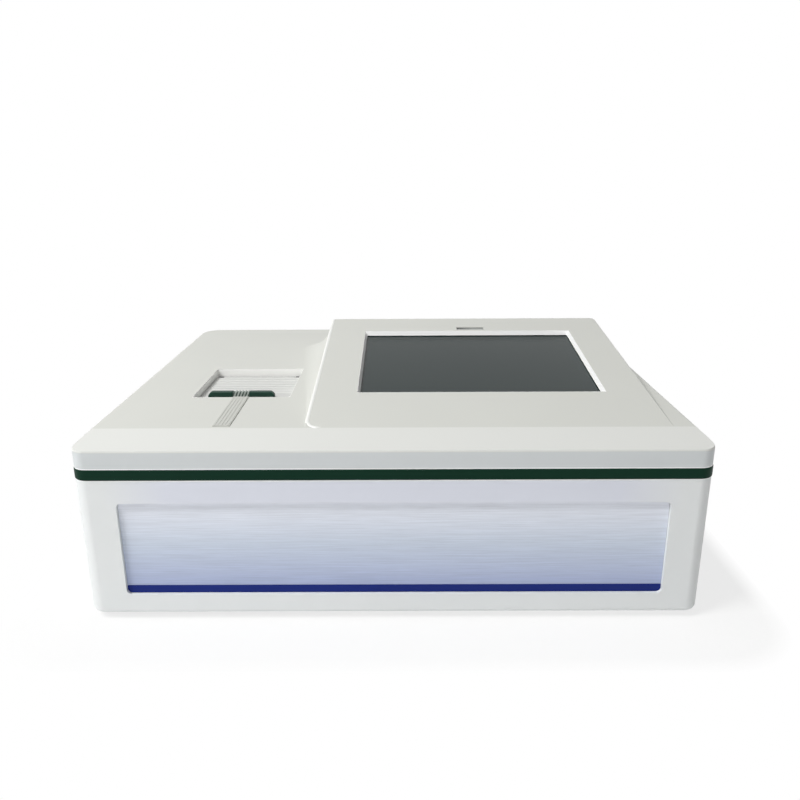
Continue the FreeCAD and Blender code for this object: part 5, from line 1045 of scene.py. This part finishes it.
# shallow cross ridges that stiffen the lid's plate
def makeRidges():
    look = ridgeLook
    low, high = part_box("sample_lid")
    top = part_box("lid_pull")[0][2]
    half = look["wide"] / 2
    crown = half * look["crown"]
    bm = bmesh.new()
    for i in range(look["count"]):
        y = high[1] - look["fromBack"] - i * look["pitch"]
        section = ((y - half, top - look["root"]), (y + half, top - look["root"]), (y + half, top),
                   (y + crown, top + look["high"]), (y - crown, top + look["high"]),
                   (y - half, top))
        skinOver(bm, [outline(bm, [(x, a, b) for a, b in section])
                      for x in (low[0] + look["inset"], high[0] - look["inset"])])
    newPiece("lidRidges", bm, ridgeWhite, "lid")


makeRidges()

print("stage: rocker marks")

markLook = {
    "root": -0.1 * mm,
    "proud": 0.12 * mm,
    "bar": (1.0 * mm, 3.6 * mm),         # width and height of the line for on
    "ring": (1.25 * mm, 1.95 * mm),      # radii of the ring for off
    "sides": 32,
    "barSpot": (1.24 * mm, 4.56 * mm),   # in from the rocker's face, up from its foot
    "ringSpot": (2.42 * mm, 12.98 * mm),
    "barTurn": -73.3,                    # degrees, so that each lies on its half of the rocker
    "ringTurn": -90.7,
}


# pad-printed line and ring, the usual marks for on and off
def makeMarks():
    look = markLook
    low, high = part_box("power_rocker")
    middle = (low[0] + high[0]) / 2
    wide, tall = look["bar"]
    bar = bmesh.new()
    addBlock(bar, (-wide / 2, -tall / 2, look["root"]), (wide / 2, tall / 2, look["proud"]))
    inner, outer = look["ring"]
    ring = turned([(outer, look["root"]), (outer, look["proud"]), (inner, look["proud"]),
                   (inner, look["root"])], look["sides"], ring=True)
    parts = []
    for single, mark in ((bar, "bar"), (ring, "ring")):
        inwards, up = look[mark + "Spot"]
        turn = Matrix.Rotation(math.radians(look[mark + "Turn"]), 4, "X")
        place = Matrix.Translation((middle, high[1] - inwards, low[2] + up))
        parts.append((single, place @ turn))
    newPiece("rockerMarks", joinParts(parts), printWhite, bodyOf["power_rocker"])


makeMarks()

print("stage: sockets")

contactLook = {
    "wires": 8,
    "wireWide": 0.45 * mm,
    "wireThick": 0.3 * mm,
    "wirePitch": 1.02 * mm,
    # along a wire: depth behind the socket's face, height over its middle
    "wirePath": ((12.6 * mm, 4.4 * mm), (4.0 * mm, 4.3 * mm), (3.2 * mm, 3.9 * mm),
                 (10.5 * mm, 1.2 * mm)),
    "pads": 4,
    "padPitch": 1.3 * mm,
    "padSize": (0.7 * mm, 6.4 * mm, 0.2 * mm),
    "padSpot": (-4.9 * mm, -1.6 * mm),    # from the socket's face and from its middle
    "round": 0.05,
}


# the sprung gold wires of the network socket, and the flat contacts on the tongue of the other
def makeContacts():
    look = contactLook
    bm = bmesh.new()
    low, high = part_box("network_port")
    middle, level = (low[0] + high[0]) / 2, (low[2] + high[2]) / 2
    for i in range(look["wires"]):
        left = middle + (i - (look["wires"] - 1) / 2) * look["wirePitch"] - look["wireWide"] / 2
        right = left + look["wireWide"]
        rings = []
        for behind, up in look["wirePath"]:
            y, z = high[1] - behind, level + up
            top = z + look["wireThick"]
            rings.append([bm.verts.new(spot) for spot in (
                (left, y, z), (right, y, z), (right, y, top), (left, y, top))])
        for lower, upper in zip(rings, rings[1:]):
            wallBetween(bm, lower, upper)
        bm.faces.new(rings[0])
        bm.faces.new(rings[-1])
    low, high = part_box("usb_port")
    middle, level = (low[0] + high[0]) / 2, (low[2] + high[2]) / 2
    for i in range(look["pads"]):
        spot = (middle + (i - (look["pads"] - 1) / 2) * look["padPitch"],
                high[1] + look["padSpot"][0], level + look["padSpot"][1])
        addBlock(bm, [a - b / 2 for a, b in zip(spot, look["padSize"])],
                 [a + b / 2 for a, b in zip(spot, look["padSize"])])
    roundEdges(bm, look["round"])
    newPiece("goldContacts", bm, turnedBrass, "case")


makeContacts()

serialLook = {
    "half": (8.6 * mm, 4.3 * mm),
    "slant": 1.4 * mm,
    "shellWall": 0.5 * mm,
    "cornerShare": 1.2,          # the wall's share at the upper corners, where it leans
    "flange": (30.8 * mm, 1.0 * mm, 12.4 * mm),
    "round": 0.15,
    "sink": 0.8 * mm,            # of the insert behind the shell's face
    "deep": 9.0 * mm,            # of the insert behind the rear sheet
    "rows": ((-0.5, 5), (0.5, 4)),
    "pinPitch": 2.77 * mm,
    "rowPitch": 2.84 * mm,
    "pinHole": 0.75 * mm,
    "pinDeep": 2.0 * mm,
    "pinSides": 12,
}


def serialCorners(inset):
    halfX, halfZ = serialLook["half"]
    lower = halfX - serialLook["slant"] - inset
    upper = halfX - inset * serialLook["cornerShare"]
    return ((-lower, -halfZ + inset), (lower, -halfZ + inset), (upper, halfZ - inset),
            (-upper, halfZ - inset))


# nine-way socket: a folded metal shell round a black insert with its sockets in two rows
def makeSerial():
    look = serialLook
    low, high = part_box("serial_port")
    x, z, face = (low[0] + high[0]) / 2, (low[2] + high[2]) / 2, high[1]
    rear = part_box("rear_panel")[0][1]
    metal = bmesh.new()
    loops = [outline(metal, [(x + a, y, z + b) for a, b in serialCorners(inset)])
             for inset, y in ((0.0, rear), (0.0, face), (look["shellWall"], face),
                              (look["shellWall"], rear))]
    skinOver(metal, loops, ring=True)
    wide, thick, tall = look["flange"]
    addBlock(metal, (x - wide / 2, rear - thick, z - tall / 2), (x + wide / 2, rear, z + tall / 2))
    roundEdges(metal, look["round"])
    newPiece("serialShell", metal, nickelPlate, "case", ("serial_port",))

    insert = bmesh.new()
    level = face - look["sink"]
    rim = outline(insert, [(a, -b, 0.0) for a, b in serialCorners(look["shellWall"])])
    sink(insert, rim, level - rear + look["deep"])
    holes = []
    for row, count in look["rows"]:
        for i in range(count):
            across = (i - (count - 1) / 2) * look["pinPitch"]
            angles = [2 * math.pi * k / look["pinSides"] for k in range(look["pinSides"])]
            holes.append([(across + look["pinHole"] * math.cos(a),
                           row * look["rowPitch"] + look["pinHole"] * math.sin(a), 0.0)
                          for a in angles])
    sinkPockets(insert, rim, holes, look["pinDeep"])
    turn = Matrix.Rotation(math.radians(-90), 4, "X")
    insert.transform(Matrix.Translation((x, level, z)) @ turn)
    newPiece("serialInsert", insert, blackNylon, "case")


makeSerial()

bpy.context.scene.view_settings.view_transform = "Standard"
